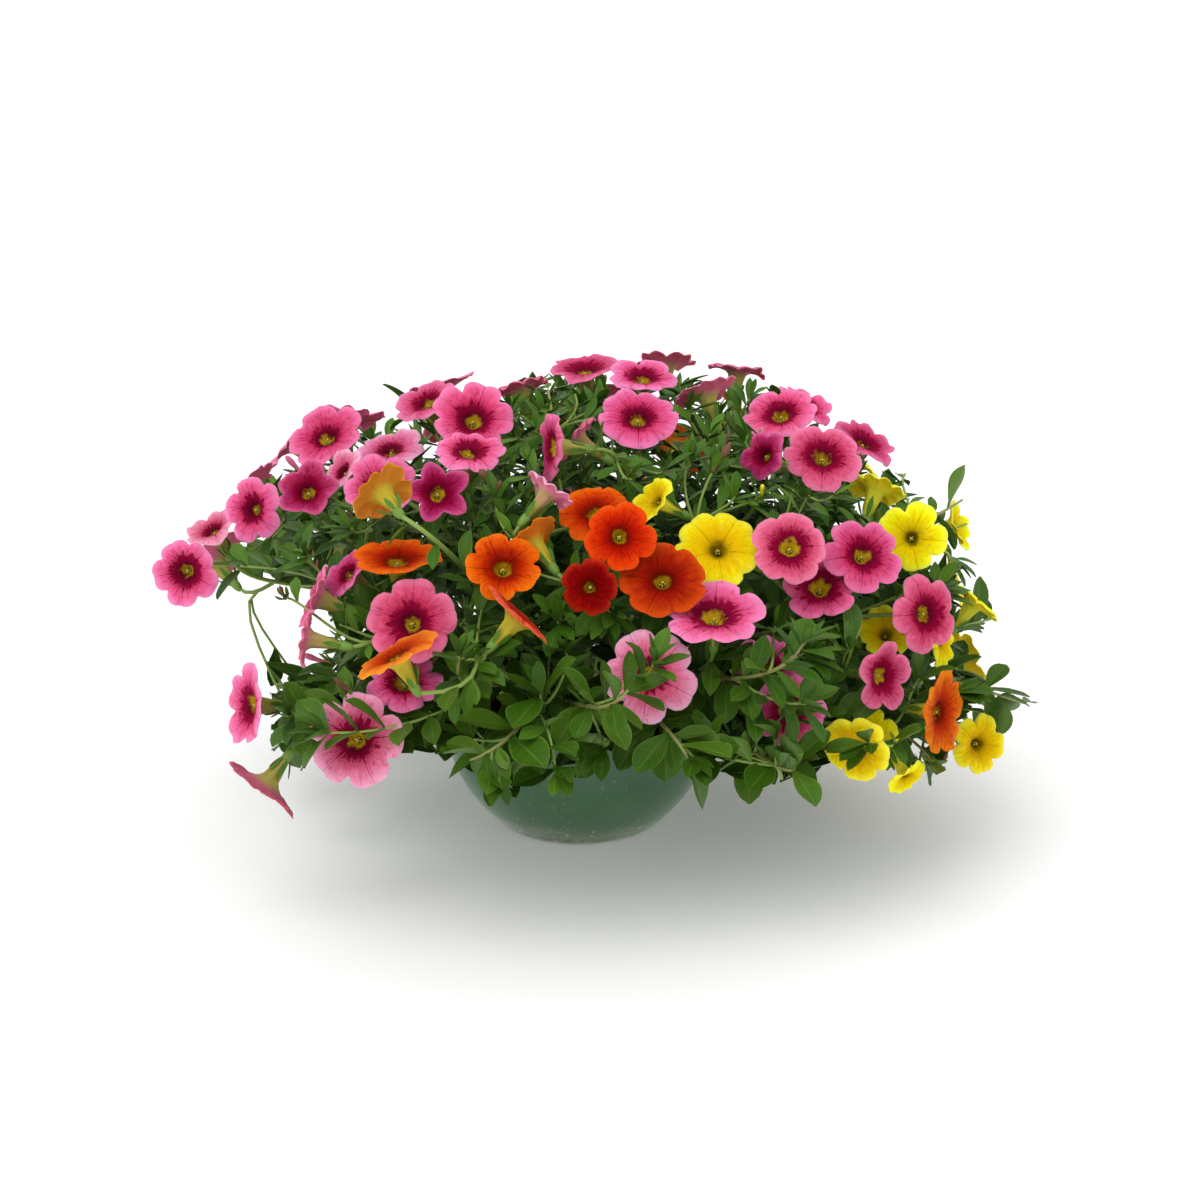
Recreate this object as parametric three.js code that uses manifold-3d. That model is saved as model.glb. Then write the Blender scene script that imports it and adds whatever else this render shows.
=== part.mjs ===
// Calibrachoa in a bowl pot: three plants in one pot, one pink, one orange and one yellow.
// Millimetres, +Z up. The front of the mound faces -Y and the origin is the middle of the flat base.
import * as THREE from "three";
import { mergeVertices } from "three/addons/utils/BufferGeometryUtils.js";
import Module from "manifold-3d";

const wasm = await Module();
wasm.setup();

// ---------------------------------------------------------------- pot and soil
const POT_RIM_RADIUS = 53.5;
const POT_BASE_RADIUS = 31;
const POT_HEIGHT = 49;
const POT_BULGE = 2.5; // how fast the wall turns upright
const POT_WALL = 2;
const POT_FLOOR = 2.5;
const LIP_HEIGHT = 4.5;
const LIP_OUT = 1.2;
const OUTER_STEPS = 5;
const INNER_STEPS = 4;
const POT_SEGMENTS = 24;
const SOIL_DEPTH_BELOW_RIM = 6;
const SOIL_TOP = POT_HEIGHT - SOIL_DEPTH_BELOW_RIM;
const FIT_GAP = 0.3; // clear air between neighbouring pieces
const HOLE_DEPTH = 8;

// ---------------------------------------------------------------- the mound, seen from the front
// Places are read off a front view in grid steps, across and down, and put on the mound's surface.
const GRID_MM = 0.392;
const GRID_CENTRE = [600, 600];
const SIGHT_DISTANCE = 1250;
const SIGHT_TILT = 17.5 * Math.PI / 180;
const SIGHT_TARGET = [8.2, 0, 90.8];
const MOUND_HALF_WIDTH = 160;
const MOUND_HALF_DEPTH = 148;
const MOUND_MIDDLE_HEIGHT = 62;
const MOUND_RISE = 116;
const MOUND_DROP = 44;
const MOUND_SQUARENESS = 2.4;

// ---------------------------------------------------------------- stems, blooms and leaves
const STEM_RADIUS = 1.25;
const TWIG_RADIUS = 0.95;
const STEM_STEPS = 6;
const TWIG_STEPS = 3;
const TUBE_LENGTH = 17; // from the calyx to the face of the bloom
const ROOT_CIRCLE = 43; // stems leave the soil inside this radius
const ROOT_SPACING = 5.2;
const BLOOM_GUARD = 0.18; // radius kept clear round each point of a corolla, per bloom radius
const STEM_GUARD = 2.0;
const LEAF_GUARD = 2.9;
const LEAF_TRIES = 14;
const BROAD_BELOW = 78; // leaves are broad below this height and narrow near the top
const NARROW_ABOVE = 148;
const LEAF_LENGTH = [19, 15]; // low down and near the top
const LEAF_BREADTH = [0.52, 0.36]; // width over length, low down and near the top
const BEND_TRIES = 60;
const JOIN_TOLERANCE = 0.15; // slivers smaller than this are tidied away where parts join
const SEED = 20261;

// One row for a bloom: across, down, how far inside the surface (mm), turn to the right and
// tilt upwards of its face (degrees), and its width (mm).
// One row for a leafy tip: across, down, how far inside the surface.
// "bend" is where a stem leans on its way, "leaves" how many it bears and "leafLength" their length.
const SHOOTS = [
  { name: "pink_01", blooms: [[185, 572, 0, -12, 10, 27], [251, 509, 0, -35, 20, 25],
    [211, 528, 14, -60, 60, 22]], leaves: 5 },
  { name: "pink_02", blooms: [[307, 490, 0, -10, 45, 26], [340, 470, 20, -60, 40, 20]], leaves: 4 },
  { name: "pink_03", blooms: [[325, 435, 0, -30, 55, 31], [352, 415, 32, 160, 62, 27]], leaves: 4 },
  { name: "pink_04", blooms: [[473, 418, 0, 5, 48, 33], [425, 400, 26, -50, 60, 26]], leaves: 4 },
  { name: "pink_05", blooms: [[469, 449, -2, 10, 72, 27], [390, 447, 22, -20, 72, 27]], leaves: 4 },
  { name: "pink_06", blooms: [[438, 492, 0, 10, 35, 26], [380, 487, 6, -5, 50, 29]], leaves: 4 },
  { name: "pink_07", blooms: [[549, 447, 0, -72, 8, 28], [574, 437, 14, -110, 30, 21],
    [551, 489, -2, 125, 40, 20]], leaves: 4 },
  { name: "pink_08", blooms: [[585, 367, 0, -30, 83, 30], [520, 385, 8, -150, 60, 24]], leaves: 4 },
  { name: "pink_09", blooms: [[643, 375, 0, 10, 76, 29], [665, 362, 34, 180, 58, 26]], leaves: 4 },
  { name: "pink_10", blooms: [[705, 390, 0, -150, 55, 27], [738, 367, 14, 150, 72, 25]], leaves: 4 },
  { name: "pink_11", blooms: [[638, 416, 0, 0, 58, 32]], leaves: 4 },
  { name: "pink_12", blooms: [[780, 412, 0, -25, 60, 30], [806, 404, 26, 60, 60, 25]], leaves: 4 },
  { name: "pink_13", blooms: [[823, 455, 0, 8, 55, 32], [762, 455, 2, -40, 25, 21],
    [866, 440, 20, 60, 58, 27]], leaves: 4 },
  { name: "pink_14", blooms: [[790, 547, -2, 0, 35, 28], [820, 586, 14, 0, 50, 29]], leaves: 4 },
  { name: "pink_15", blooms: [[864, 554, 0, 20, 40, 31]], leaves: 4 },
  { name: "pink_16", blooms: [[928, 614, 0, 35, 15, 31], [884, 676, 6, 45, 10, 27]], leaves: 4 },
  { name: "pink_17", blooms: [[714, 613, 0, 0, 71, 37]], leaves: 4 },
  { name: "pink_18", blooms: [[411, 622, 0, -5, 33, 33], [403, 680, 9, 0, 55, 28]], leaves: 4 },
  { name: "pink_19", blooms: [[247, 705, 0, -62, 10, 30], [355, 740, -6, -12, 20, 35],
    [263, 789, 0, -70, -50, 31]], leaves: 6 },
  { name: "pink_20", blooms: [[650, 675, 4, 0, 15, 35]], leaves: 4 },
  { name: "pink_21", blooms: [[790, 710, 8, 10, 10, 27], [765, 670, 26, 5, 15, 26]], leaves: 4 },
  { name: "pink_22", blooms: [[313, 596, 6, -86, 25, 25], [303, 638, -8, -95, 10, 21],
    [345, 572, 14, -60, 40, 22]], leaves: 4 },
  { name: "orange_01", blooms: [[397, 557, 7, -5, 80, 32], [394, 652, -27, -90, 62, 33]], leaves: 4 },
  { name: "orange_02", blooms: [[503, 566, 0, 5, 46, 29], [521, 614, -4, 105, 46, 30]], leaves: 4 },
  { name: "orange_03", blooms: [[594, 511, 14, -10, 56, 28], [530, 540, 12, -140, 30, 24]], leaves: 4 },
  { name: "orange_04", blooms: [[620, 536, -8, 5, 25, 26], [590, 587, -2, 0, 20, 21]], leaves: 3 },
  { name: "orange_05", blooms: [[663, 578, 0, 5, 50, 33]], leaves: 4 },
  { name: "orange_06", blooms: [[380, 491, -20, -149, 18, 24]], leaves: 4, leafLength: 13 },
  { name: "orange_07", blooms: [[943, 713, -2, 58, 4, 32]], leaves: 4 },
  { name: "yellow_01", blooms: [[718, 547, 11, 0, 45, 33], [653, 500, 8, -60, 30, 19]], leaves: 4 },
  { name: "yellow_02", blooms: [[911, 538, 0, -8, 20, 27], [877, 485, 8, 150, 50, 24],
    [958, 525, 14, 75, 20, 22]], leaves: 4 },
  { name: "yellow_03", blooms: [[977, 599, 2, 110, 48, 23], [945, 642, 22, 60, 0, 21],
    [886, 633, 32, 0, 40, 22]], leaves: 4 },
  { name: "yellow_04", blooms: [[855, 751, 0, -20, -12, 27], [876, 735, 16, 40, 30, 22],
    [908, 780, -4, 30, -35, 17]], leaves: 4 },
  { name: "yellow_05", blooms: [[980, 745, 0, 25, 10, 24]], leaves: 4 },
  { name: "pink_23", tip: [470, 760, -12], bend: [545, 735, -18], leaves: 7, leafLength: 25 },
  { name: "pink_24", tip: [460, 655, -6], bend: [440, 728, -14], leaves: 6, leafLength: 20 },
  { name: "pink_25", tip: [628, 690, -18], bend: [705, 712, -22], leaves: 6, leafLength: 20 },
  { name: "yellow_06", tip: [806, 640, -22], bend: [752, 722, -20], leaves: 8, leafLength: 22 },
  { name: "yellow_07", tip: [1024, 703, 0], bend: [915, 716, 4], leaves: 6, leafLength: 17 },
  { name: "yellow_08", tip: [688, 757, -6], bend: [676, 715, -14], leaves: 5, leafLength: 24 },
  { name: "yellow_09", tip: [795, 766, -4], bend: [755, 720, -12], leaves: 6, leafLength: 22 },
  { name: "yellow_10", tip: [932, 763, -4], bend: [890, 690, 22], leaves: 5, leafLength: 20 },
  { name: "yellow_11", tip: [962, 500, 6], bend: [900, 545, 8], leaves: 5, leafLength: 17 },
  { name: "orange_08", tip: [540, 694, 8], bend: [552, 728, 4], leaves: 6, leafLength: 24 },
  { name: "pink_26", tip: [548, 390, 4], bend: [560, 450, 14], leaves: 5, leafLength: 11 },
];

// The back of the mound carries sprays of blooms, spread evenly by the golden angle.
const BACK_SPRAYS = 12;
const BACK_TIPS = 3;
const BACK_LEAVES = 5;
const BACK_FIRST_TURN = 12; // degrees round from +X to the first and last spray
const BACK_LAST_TURN = 168;
const SPRAY_REACH = 34; // from the leading bloom to each of its neighbours
const BACK_BLOOM_WIDTH = [26, 32];
const YELLOW_UNTIL_TURN = 45;
const ORANGE_UNTIL_TURN = 85;
const PINK_FROM_SPRAY = 9; // the highest sprays are pink all round
const OPEN_LEFT = -112; // the mound is open at its left edge below this height
const OPEN_BELOW = 92;
const GOLDEN_TURN = 137.508;

// ---------------------------------------------------------------- small vector helpers
const DEGREE = Math.PI / 180;
const UP = [0, 0, 1];
const add = (a, b) => [a[0] + b[0], a[1] + b[1], a[2] + b[2]];
const sub = (a, b) => [a[0] - b[0], a[1] - b[1], a[2] - b[2]];
const times = (a, k) => [a[0] * k, a[1] * k, a[2] * k];
const along = (a, b, k) => [a[0] + b[0] * k, a[1] + b[1] * k, a[2] + b[2] * k];
const dot = (a, b) => a[0] * b[0] + a[1] * b[1] + a[2] * b[2];
const cross = (a, b) => [
  a[1] * b[2] - a[2] * b[1],
  a[2] * b[0] - a[0] * b[2],
  a[0] * b[1] - a[1] * b[0],
];
const size = (a) => Math.sqrt(dot(a, a));
const unit = (a) => times(a, 1 / Math.max(size(a), 1e-9));
const mix = (a, b, t) => a + (b - a) * t;

// A repeatable draw between 0 and 1.
let seed = SEED;
function draw() {
  seed = (seed * 16807) % 2147483647;
  return seed / 2147483647;
}
const drawBetween = (low, high) => mix(low, high, draw());

// Two directions square to a given one.
function squareTo(axis) {
  const helper = Math.abs(axis[2]) > 0.92 ? [0, 1, 0] : UP;
  const first = unit(cross(helper, axis));
  return [first, cross(axis, first)];
}

// The direction that a face turned right and tilted up looks in.
function facing(turn, tilt) {
  const flat = Math.cos(tilt * DEGREE);
  return [Math.sin(turn * DEGREE) * flat, -Math.cos(turn * DEGREE) * flat, Math.sin(tilt * DEGREE)];
}

// ---------------------------------------------------------------- places on the mound
// How far out a point lies: 1 on the mound's surface, less inside.
function moundReach(point) {
  const height = point[2] - MOUND_MIDDLE_HEIGHT;
  const half = height > 0 ? MOUND_RISE : MOUND_DROP;
  return Math.pow(Math.abs(point[0]) / MOUND_HALF_WIDTH, MOUND_SQUARENESS)
    + Math.pow(Math.abs(point[1]) / MOUND_HALF_DEPTH, MOUND_SQUARENESS)
    + Math.pow(Math.abs(height) / half, MOUND_SQUARENESS);
}

// The point on the sight line through a grid place that lies at a given depth.
function onSightLine(across, down, depth) {
  const ahead = [0, Math.cos(SIGHT_TILT), -Math.sin(SIGHT_TILT)];
  const above = [0, Math.sin(SIGHT_TILT), Math.cos(SIGHT_TILT)];
  const eye = along(SIGHT_TARGET, ahead, -SIGHT_DISTANCE);
  const right = (across - GRID_CENTRE[0]) * GRID_MM / SIGHT_DISTANCE;
  const rise = (GRID_CENTRE[1] - down) * GRID_MM / SIGHT_DISTANCE;
  const line = along([right, ahead[1], ahead[2]], above, rise);
  return along(eye, line, (depth - eye[1]) / line[1]);
}

// The first point of a sight line that meets the mound, or the one that passes nearest to it.
function onMound(across, down, inset) {
  let best = 0;
  let nearest = Infinity;
  for (let depth = -MOUND_HALF_DEPTH; depth <= MOUND_HALF_DEPTH; depth += 1) {
    const reach = moundReach(onSightLine(across, down, depth));
    if (reach < nearest) {
      nearest = reach;
      best = depth;
    }
    if (nearest <= 1) break;
  }
  return onSightLine(across, down, best + inset);
}

// ---------------------------------------------------------------- keeping pieces clear
const CELL = 10;
const kept = new Map();
const cellOf = (point) => point.map((value) => Math.floor(value / CELL));

function keep(point, guard, owner) {
  const key = cellOf(point).join();
  if (!kept.has(key)) kept.set(key, []);
  kept.get(key).push({ point, guard, owner });
}

// Whether a point with its guard is clear of everything kept, its own owner's stems left out.
function isClear(point, guard, owner) {
  const [cx, cy, cz] = cellOf(point);
  for (let x = cx - 1; x <= cx + 1; x += 1) {
    for (let y = cy - 1; y <= cy + 1; y += 1) {
      for (let z = cz - 1; z <= cz + 1; z += 1) {
        for (const other of kept.get([x, y, z].join()) ?? []) {
          if (other.owner === owner) continue;
          if (size(sub(point, other.point)) < guard + other.guard) return false;
        }
      }
    }
  }
  return true;
}

// Points spread over a bloom's face, which nothing else may come near.
const FACE_RINGS = [[0, 1], [0.33, 6], [0.66, 12], [0.95, 18]];
function facePoints(bloom) {
  const [u, v] = squareTo(bloom.facing);
  return FACE_RINGS.flatMap(([part, count]) => Array.from({ length: count }, (_, k) => {
    const angle = 2 * Math.PI * k / count;
    const flat = add(times(u, Math.cos(angle)), times(v, Math.sin(angle)));
    return along(along(bloom.centre, bloom.facing, part - 1), flat, part * bloom.radius);
  }));
}

function keepBloom(bloom, owner) {
  for (const point of facePoints(bloom)) keep(point, bloom.radius * BLOOM_GUARD, "face");
  for (let back = 5; back < TUBE_LENGTH; back += 4) {
    keep(along(bloom.centre, bloom.facing, -back), 4.4 - back * 0.15, owner);
  }
}

// ---------------------------------------------------------------- curves
function curvePoint(curve, t) {
  const s = 1 - t;
  const weights = [s * s * s, 3 * s * s * t, 3 * s * t * t, t * t * t];
  return curve.reduce((sum, point, k) => along(sum, point, weights[k]), [0, 0, 0]);
}

const curvePoints = (curve, steps) =>
  Array.from({ length: steps + 1 }, (_, k) => curvePoint(curve, k / steps));

// A line of straight steps along a curve, as points closer together than the steps.
const POINTS_IN_STEP = 6;
function stepPoints(curve, steps) {
  const joints = curvePoints(curve, steps);
  return joints.slice(1).flatMap((joint, k) => Array.from({ length: POINTS_IN_STEP }, (_, n) =>
    along(times(joints[k], 1 - (n + 1) / POINTS_IN_STEP), joint, (n + 1) / POINTS_IN_STEP)));
}

// Bends the middle of a curve this way and that until it's clear, or as clear as can be.
function bendClear(curve, steps, owner) {
  const axis = unit(sub(curve[3], curve[0]));
  const [u, v] = squareTo(axis);
  let best = curve;
  let fewest = Infinity;
  for (let k = 0; k < BEND_TRIES && fewest > 0; k += 1) {
    const angle = k * GOLDEN_TURN * DEGREE;
    const push = k * 0.7;
    const bow = add(times(u, Math.cos(angle) * push), times(v, Math.sin(angle) * push));
    const bent = [curve[0], along(curve[1], bow, 0.6), add(curve[2], bow), curve[3]];
    const blocked = stepPoints(bent, steps).filter((point) => !isClear(point, STEM_GUARD, owner));
    if (blocked.length < fewest) {
      fewest = blocked.length;
      best = bent;
    }
  }
  for (const point of stepPoints(best, steps)) keep(point, STEM_GUARD, owner);
  return best;
}

// ---------------------------------------------------------------- laying out the shoots
function readBloom([across, down, inset, turn, tilt, width]) {
  return {
    centre: onMound(across, down, inset),
    facing: facing(turn, tilt),
    radius: width / 2,
    spin: draw() * 72 * DEGREE,
  };
}

// A direction on the back: evenly spread in height, and round by the golden angle.
function backHeading(index, count, firstTurn, lastTurn) {
  const turn = mix(firstTurn, lastTurn, (index * GOLDEN_TURN / 360) % 1) * DEGREE;
  const lift = Math.asin(mix(-0.1, 0.9, (index + 0.5) / count));
  const heading = [Math.cos(turn) * Math.cos(lift), Math.sin(turn) * Math.cos(lift), Math.sin(lift)];
  return { heading, turn: turn / DEGREE };
}

// A spray on the back: a leading bloom facing outwards and three others round it.
function backSpray(index) {
  const { heading, turn } = backHeading(index, BACK_SPRAYS, BACK_FIRST_TURN, BACK_LAST_TURN);
  const [u, v] = squareTo(heading);
  const lean = drawBetween(0, 120);
  const blooms = [0, 1, 2, 3].map((place) => {
    const angle = (lean + place * 120) * DEGREE;
    const sideways = place ? SPRAY_REACH / MOUND_HALF_DEPTH : 0;
    const offset = add(times(u, Math.cos(angle)), times(v, Math.sin(angle)));
    const direction = unit(along(heading, offset, sideways));
    const tipped = [drawBetween(-0.35, 0.35), drawBetween(-0.35, 0.35), drawBetween(0, 0.6)];
    return {
      centre: outTo(direction, drawBetween(0.93, 1)),
      facing: unit(add(direction, tipped)),
      radius: drawBetween(...BACK_BLOOM_WIDTH) / 2,
      spin: draw() * 72 * DEGREE,
    };
  });
  const isLow = index + 1 < PINK_FROM_SPRAY;
  const isYellow = isLow && turn < YELLOW_UNTIL_TURN;
  const isOrange = isLow && !isYellow && turn < ORANGE_UNTIL_TURN;
  const colour = isYellow ? "yellow" : isOrange ? "orange" : "pink";
  return { name: `${colour}_back_${index + 1}`, blooms, leaves: BACK_LEAVES };
}

// A leafy tip on the back, between the sprays.
function backTip(index) {
  const turn = mix(BACK_FIRST_TURN, BACK_LAST_TURN, (index + 0.5) / BACK_TIPS);
  const { heading } = backHeading(index, BACK_TIPS, turn, turn);
  const tipPoint = outTo(heading, 0.97);
  const bendPoint = add(times(outTo(heading, 0.6), 1), [0, 0, 14]);
  return { name: `pink_tip_${index + 1}`, blooms: [], tipPoint, bendPoint, leaves: 6 };
}

// The mound's surface in a direction from its middle, or a part of the way there.
function outTo(direction, part) {
  const middle = [0, 0, MOUND_MIDDLE_HEIGHT];
  const reach = moundReach(add(middle, direction));
  return along(middle, direction, part / Math.pow(reach, 1 / MOUND_SQUARENESS));
}

// Where a shoot leaves the soil: below its tip, drawn in towards the middle and clear of others.
const roots = [];
function findRoot(tip) {
  const reach = Math.sqrt(tip[0] * tip[0] + tip[1] * tip[1]);
  const inwards = ROOT_CIRCLE * Math.min(reach / 165, 1) / Math.max(reach, 1);
  for (let k = 0; k < 400; k += 1) {
    const angle = k * GOLDEN_TURN * DEGREE;
    const away = 1.1 * Math.sqrt(k);
    const root = [
      tip[0] * inwards + Math.cos(angle) * away,
      tip[1] * inwards + Math.sin(angle) * away,
      SOIL_TOP,
    ];
    const fromMiddle = Math.sqrt(root[0] * root[0] + root[1] * root[1]);
    const isFree = roots.every((other) => size(sub(root, other)) >= ROOT_SPACING);
    if (fromMiddle <= ROOT_CIRCLE && isFree) {
      roots.push(root);
      return root;
    }
  }
  throw new Error("no room for a root");
}

// The main stem: up out of the soil, over the rim, and into the back of its first bloom.
function mainStem(shoot) {
  const lead = shoot.blooms[0];
  const end = lead ? along(lead.centre, lead.facing, -TUBE_LENGTH) : shoot.tipPoint;
  const top = add(shoot.root, [0, 0, 1]);
  const length = size(sub(end, top));
  const start = add(top, [top[0] * 0.25, top[1] * 0.25, length * 0.36]);
  const leanPoint = lead
    ? along(along(end, lead.facing, -length * 0.22), UP, length * 0.04)
    : shoot.bendPoint;
  return bendClear([top, start, leanPoint, end], STEM_STEPS, shoot.name);
}

// A side twig: from a joint of the main stem into the back of a later bloom.
function sideTwig(shoot, bloom, joint) {
  const end = along(bloom.centre, bloom.facing, -TUBE_LENGTH);
  const start = curvePoint(shoot.stem, joint);
  const heading = unit(sub(curvePoint(shoot.stem, joint + 0.05), start));
  const length = size(sub(end, start));
  return bendClear([
    start,
    along(start, heading, length * 0.35),
    along(end, bloom.facing, -length * 0.3),
    end,
  ], TWIG_STEPS, shoot.name);
}

// A leaf at a place on a stem, turned round it by the golden angle until it's clear.
function leafPoints(leaf) {
  const points = [];
  for (const part of [0.25, 0.45, 0.65, 0.85, 1]) {
    const half = part === 1 ? 0 : leaf.width * 0.34;
    for (const sideways of half ? [-1, 0, 1] : [0]) {
      points.push(onLeaf(leaf, part, sideways * half, 0));
    }
  }
  return points;
}

// A point of a leaf: part of the way along it, to a side, and above its face.
function onLeaf(leaf, part, sideways, above) {
  const droop = -leaf.length * leaf.droop * part * part;
  const middle = along(along(leaf.start, leaf.heading, leaf.length * part), leaf.normal, droop);
  return along(along(middle, leaf.side, sideways), leaf.normal, above);
}

function growLeaf(start, heading, turn, length, breadth) {
  const [u, v] = squareTo(heading);
  for (let k = 0; k < LEAF_TRIES; k += 1) {
    const angle = turn + k * GOLDEN_TURN * DEGREE;
    const spread = (48 + 9 * (k % 4)) * DEGREE;
    const outwards = add(times(u, Math.cos(angle)), times(v, Math.sin(angle)));
    const direction = add(times(heading, Math.cos(spread)), times(outwards, Math.sin(spread)));
    const skyward = add(times(heading, 0.5), UP);
    const normal = unit(along(skyward, direction, -dot(skyward, direction)));
    const leaf = {
      start,
      heading: direction,
      normal,
      side: cross(direction, normal),
      length: k < LEAF_TRIES / 2 ? length : length * 0.8,
      width: length * breadth,
      droop: 0.1,
    };
    const points = leafPoints(leaf);
    if (points.slice(3).every((point) => isClear(point, LEAF_GUARD, "leaf"))) {
      for (const point of points) keep(point, LEAF_GUARD, "blade");
      return [leaf];
    }
  }
  return [];
}

// Where leaves sit on one straight step of a stem, and the way the stem runs there.
function leafPlaces(curve, steps, step, count) {
  const [low, high] = [curvePoint(curve, (step - 1) / steps), curvePoint(curve, step / steps)];
  const heading = unit(sub(high, low));
  return Array.from({ length: count }, (_, k) =>
    [along(times(low, 0.35 + 0.3 * k), high, 0.65 - 0.3 * k), heading]);
}

// The leaves of a shoot, from the tip of its main stem downwards and then on its twigs.
function growLeaves(shoot) {
  const leaves = [];
  const places = [];
  for (let step = STEM_STEPS; step >= 2; step -= 1) {
    places.push(...leafPlaces(shoot.stem, STEM_STEPS, step, shoot.blooms.length ? 1 : 2));
  }
  for (const twig of shoot.twigs) places.push(...leafPlaces(twig, TWIG_STEPS, 2, 1));
  let turn = draw() * 2 * Math.PI;
  for (const [start, heading] of places) {
    if (leaves.length >= shoot.leaves) break;
    const rise = Math.min(Math.max((start[2] - BROAD_BELOW) / (NARROW_ABOVE - BROAD_BELOW), 0), 1);
    const length = (shoot.leafLength ?? mix(...LEAF_LENGTH, rise)) * drawBetween(0.82, 1.08);
    leaves.push(...growLeaf(start, heading, turn, length, mix(...LEAF_BREADTH, rise)));
    turn += 2.6;
  }
  return leaves;
}

function layOut() {
  const shoots = [];
  for (const row of SHOOTS) {
    const shoot = { ...row, blooms: (row.blooms ?? []).map(readBloom) };
    if (row.tip) shoot.tipPoint = onMound(...row.tip);
    if (row.bend) shoot.bendPoint = onMound(...row.bend);
    for (const bloom of shoot.blooms) keepBloom(bloom, shoot.name);
    shoots.push(shoot);
  }
  for (let index = 0; index < BACK_SPRAYS; index += 1) {
    const spray = backSpray(index);
    spray.blooms = spray.blooms.filter((bloom) => {
      const open = bloom.centre[0] < OPEN_LEFT && bloom.centre[2] < OPEN_BELOW;
      const free = !open && facePoints(bloom).every((point) => isClear(point, 3, "none"));
      if (free) keepBloom(bloom, spray.name);
      return free;
    });
    if (spray.blooms.length > 1) shoots.push(spray);
  }
  for (let index = 0; index < BACK_TIPS; index += 1) shoots.push(backTip(index));
  for (let k = 0; k < 40; k += 1) {
    const angle = 2 * Math.PI * k / 40;
    keep([Math.cos(angle) * POT_RIM_RADIUS, Math.sin(angle) * POT_RIM_RADIUS, POT_HEIGHT - 2], 5, "rim");
  }
  for (const shoot of shoots) {
    shoot.root = findRoot(shoot.blooms.length ? shoot.blooms[0].centre : shoot.tipPoint);
  }
  for (const shoot of shoots) shoot.stem = mainStem(shoot);
  for (const shoot of shoots) {
    const later = shoot.blooms.slice(1);
    shoot.twigs = later.map((bloom, k) => sideTwig(shoot, bloom, (4 - k) / STEM_STEPS));
  }
  for (const shoot of shoots) shoot.leafList = growLeaves(shoot);
  return shoots;
}

// ---------------------------------------------------------------- solids
// Closes a list of points and triangles into one solid.
function solid(points, triangles) {
  const geometry = new THREE.BufferGeometry();
  geometry.setAttribute("position", new THREE.Float32BufferAttribute(points.flat(), 3));
  geometry.setIndex(triangles.flat());
  return asManifold(geometry);
}

function asManifold(geometry) {
  geometry.deleteAttribute("normal");
  geometry.deleteAttribute("uv");
  const merged = mergeVertices(geometry, 1e-4);
  return new wasm.Manifold(new wasm.Mesh({
    numProp: 3,
    vertProperties: new Float32Array(merged.attributes.position.array),
    triVerts: new Uint32Array(merged.index.array),
  }));
}

// Three-cornered rings that follow a line of points without twisting.
function stemRings(points, radii) {
  let side = [1, 0, 0];
  return points.map((point, k) => {
    const before = points[Math.max(k - 1, 0)];
    const after = points[Math.min(k + 1, points.length - 1)];
    const heading = unit(sub(after, before));
    side = unit(along(side, heading, -dot(side, heading)));
    const other = cross(heading, side);
    return [0, 120, 240].map((degrees) => {
      const angle = degrees * DEGREE;
      const flat = add(times(side, Math.cos(angle)), times(other, Math.sin(angle)));
      return along(point, flat, radii[k]);
    });
  });
}

// The rings of a bloom from the calyx out to the lobes and back in to the throat.
const LOBES = 5;
function bloomRings(bloom) {
  const [u, v] = squareTo(bloom.facing);
  const at = (degrees, radius, ahead) => {
    const angle = degrees * DEGREE + bloom.spin;
    const flat = add(times(u, Math.cos(angle)), times(v, Math.sin(angle)));
    return along(along(bloom.centre, bloom.facing, ahead), flat, radius);
  };
  const ring = (radius, ahead) => Array.from({ length: LOBES }, (_, k) => at(k * 72, radius, ahead));
  const rim = Array.from({ length: LOBES }, (_, k) => [
    at(k * 72, bloom.radius * 0.86, 0.2),
    at(k * 72 + 20, bloom.radius, -0.4),
    at(k * 72 + 52, bloom.radius, -0.4),
  ]).flat();
  return {
    back: ring(bloom.radius * 0.3, -5),
    rim,
    throat: ring(bloom.radius * 0.24, -1.6),
    heart: along(bloom.centre, bloom.facing, -6),
  };
}

// A stem that runs into the back of a bloom, or ends in a point, as one closed solid.
function stemSolid(points, radii, bloom) {
  const rings = stemRings(points, radii);
  const all = rings.flat();
  const triangles = [[0, 2, 1]];
  for (let k = 0; k + 1 < rings.length; k += 1) {
    for (let corner = 0; corner < 3; corner += 1) {
      const a = k * 3 + corner;
      const b = k * 3 + (corner + 1) % 3;
      triangles.push([a, b, b + 3], [a, b + 3, a + 3]);
    }
  }
  const last = (rings.length - 1) * 3;
  if (!bloom) {
    triangles.push([last, last + 1, last + 2]);
    return solid(all, triangles);
  }
  const { back, rim, throat, heart } = bloomRings(bloom);
  const backAt = all.push(...back) - LOBES;
  const rimAt = all.push(...rim) - LOBES * 3;
  const throatAt = all.push(...throat) - LOBES;
  const heartAt = all.push(heart) - 1;
  triangles.push(...joinRings(all, last, 3, backAt, LOBES));
  for (let k = 0; k < LOBES; k += 1) {
    const next = (k + 1) % LOBES;
    const [notch, left, right, after] = [3 * k, 3 * k + 1, 3 * k + 2, 3 * next].map((n) => rimAt + n);
    triangles.push(
      [backAt + k, left, notch], [backAt + k, backAt + next, left],
      [backAt + next, right, left], [backAt + next, after, right],
      [throatAt + k, notch, left], [throatAt + k, left, throatAt + next],
      [throatAt + next, left, right], [throatAt + next, right, after],
      [throatAt + k, throatAt + next, heartAt],
    );
  }
  return solid(all, triangles);
}

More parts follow.
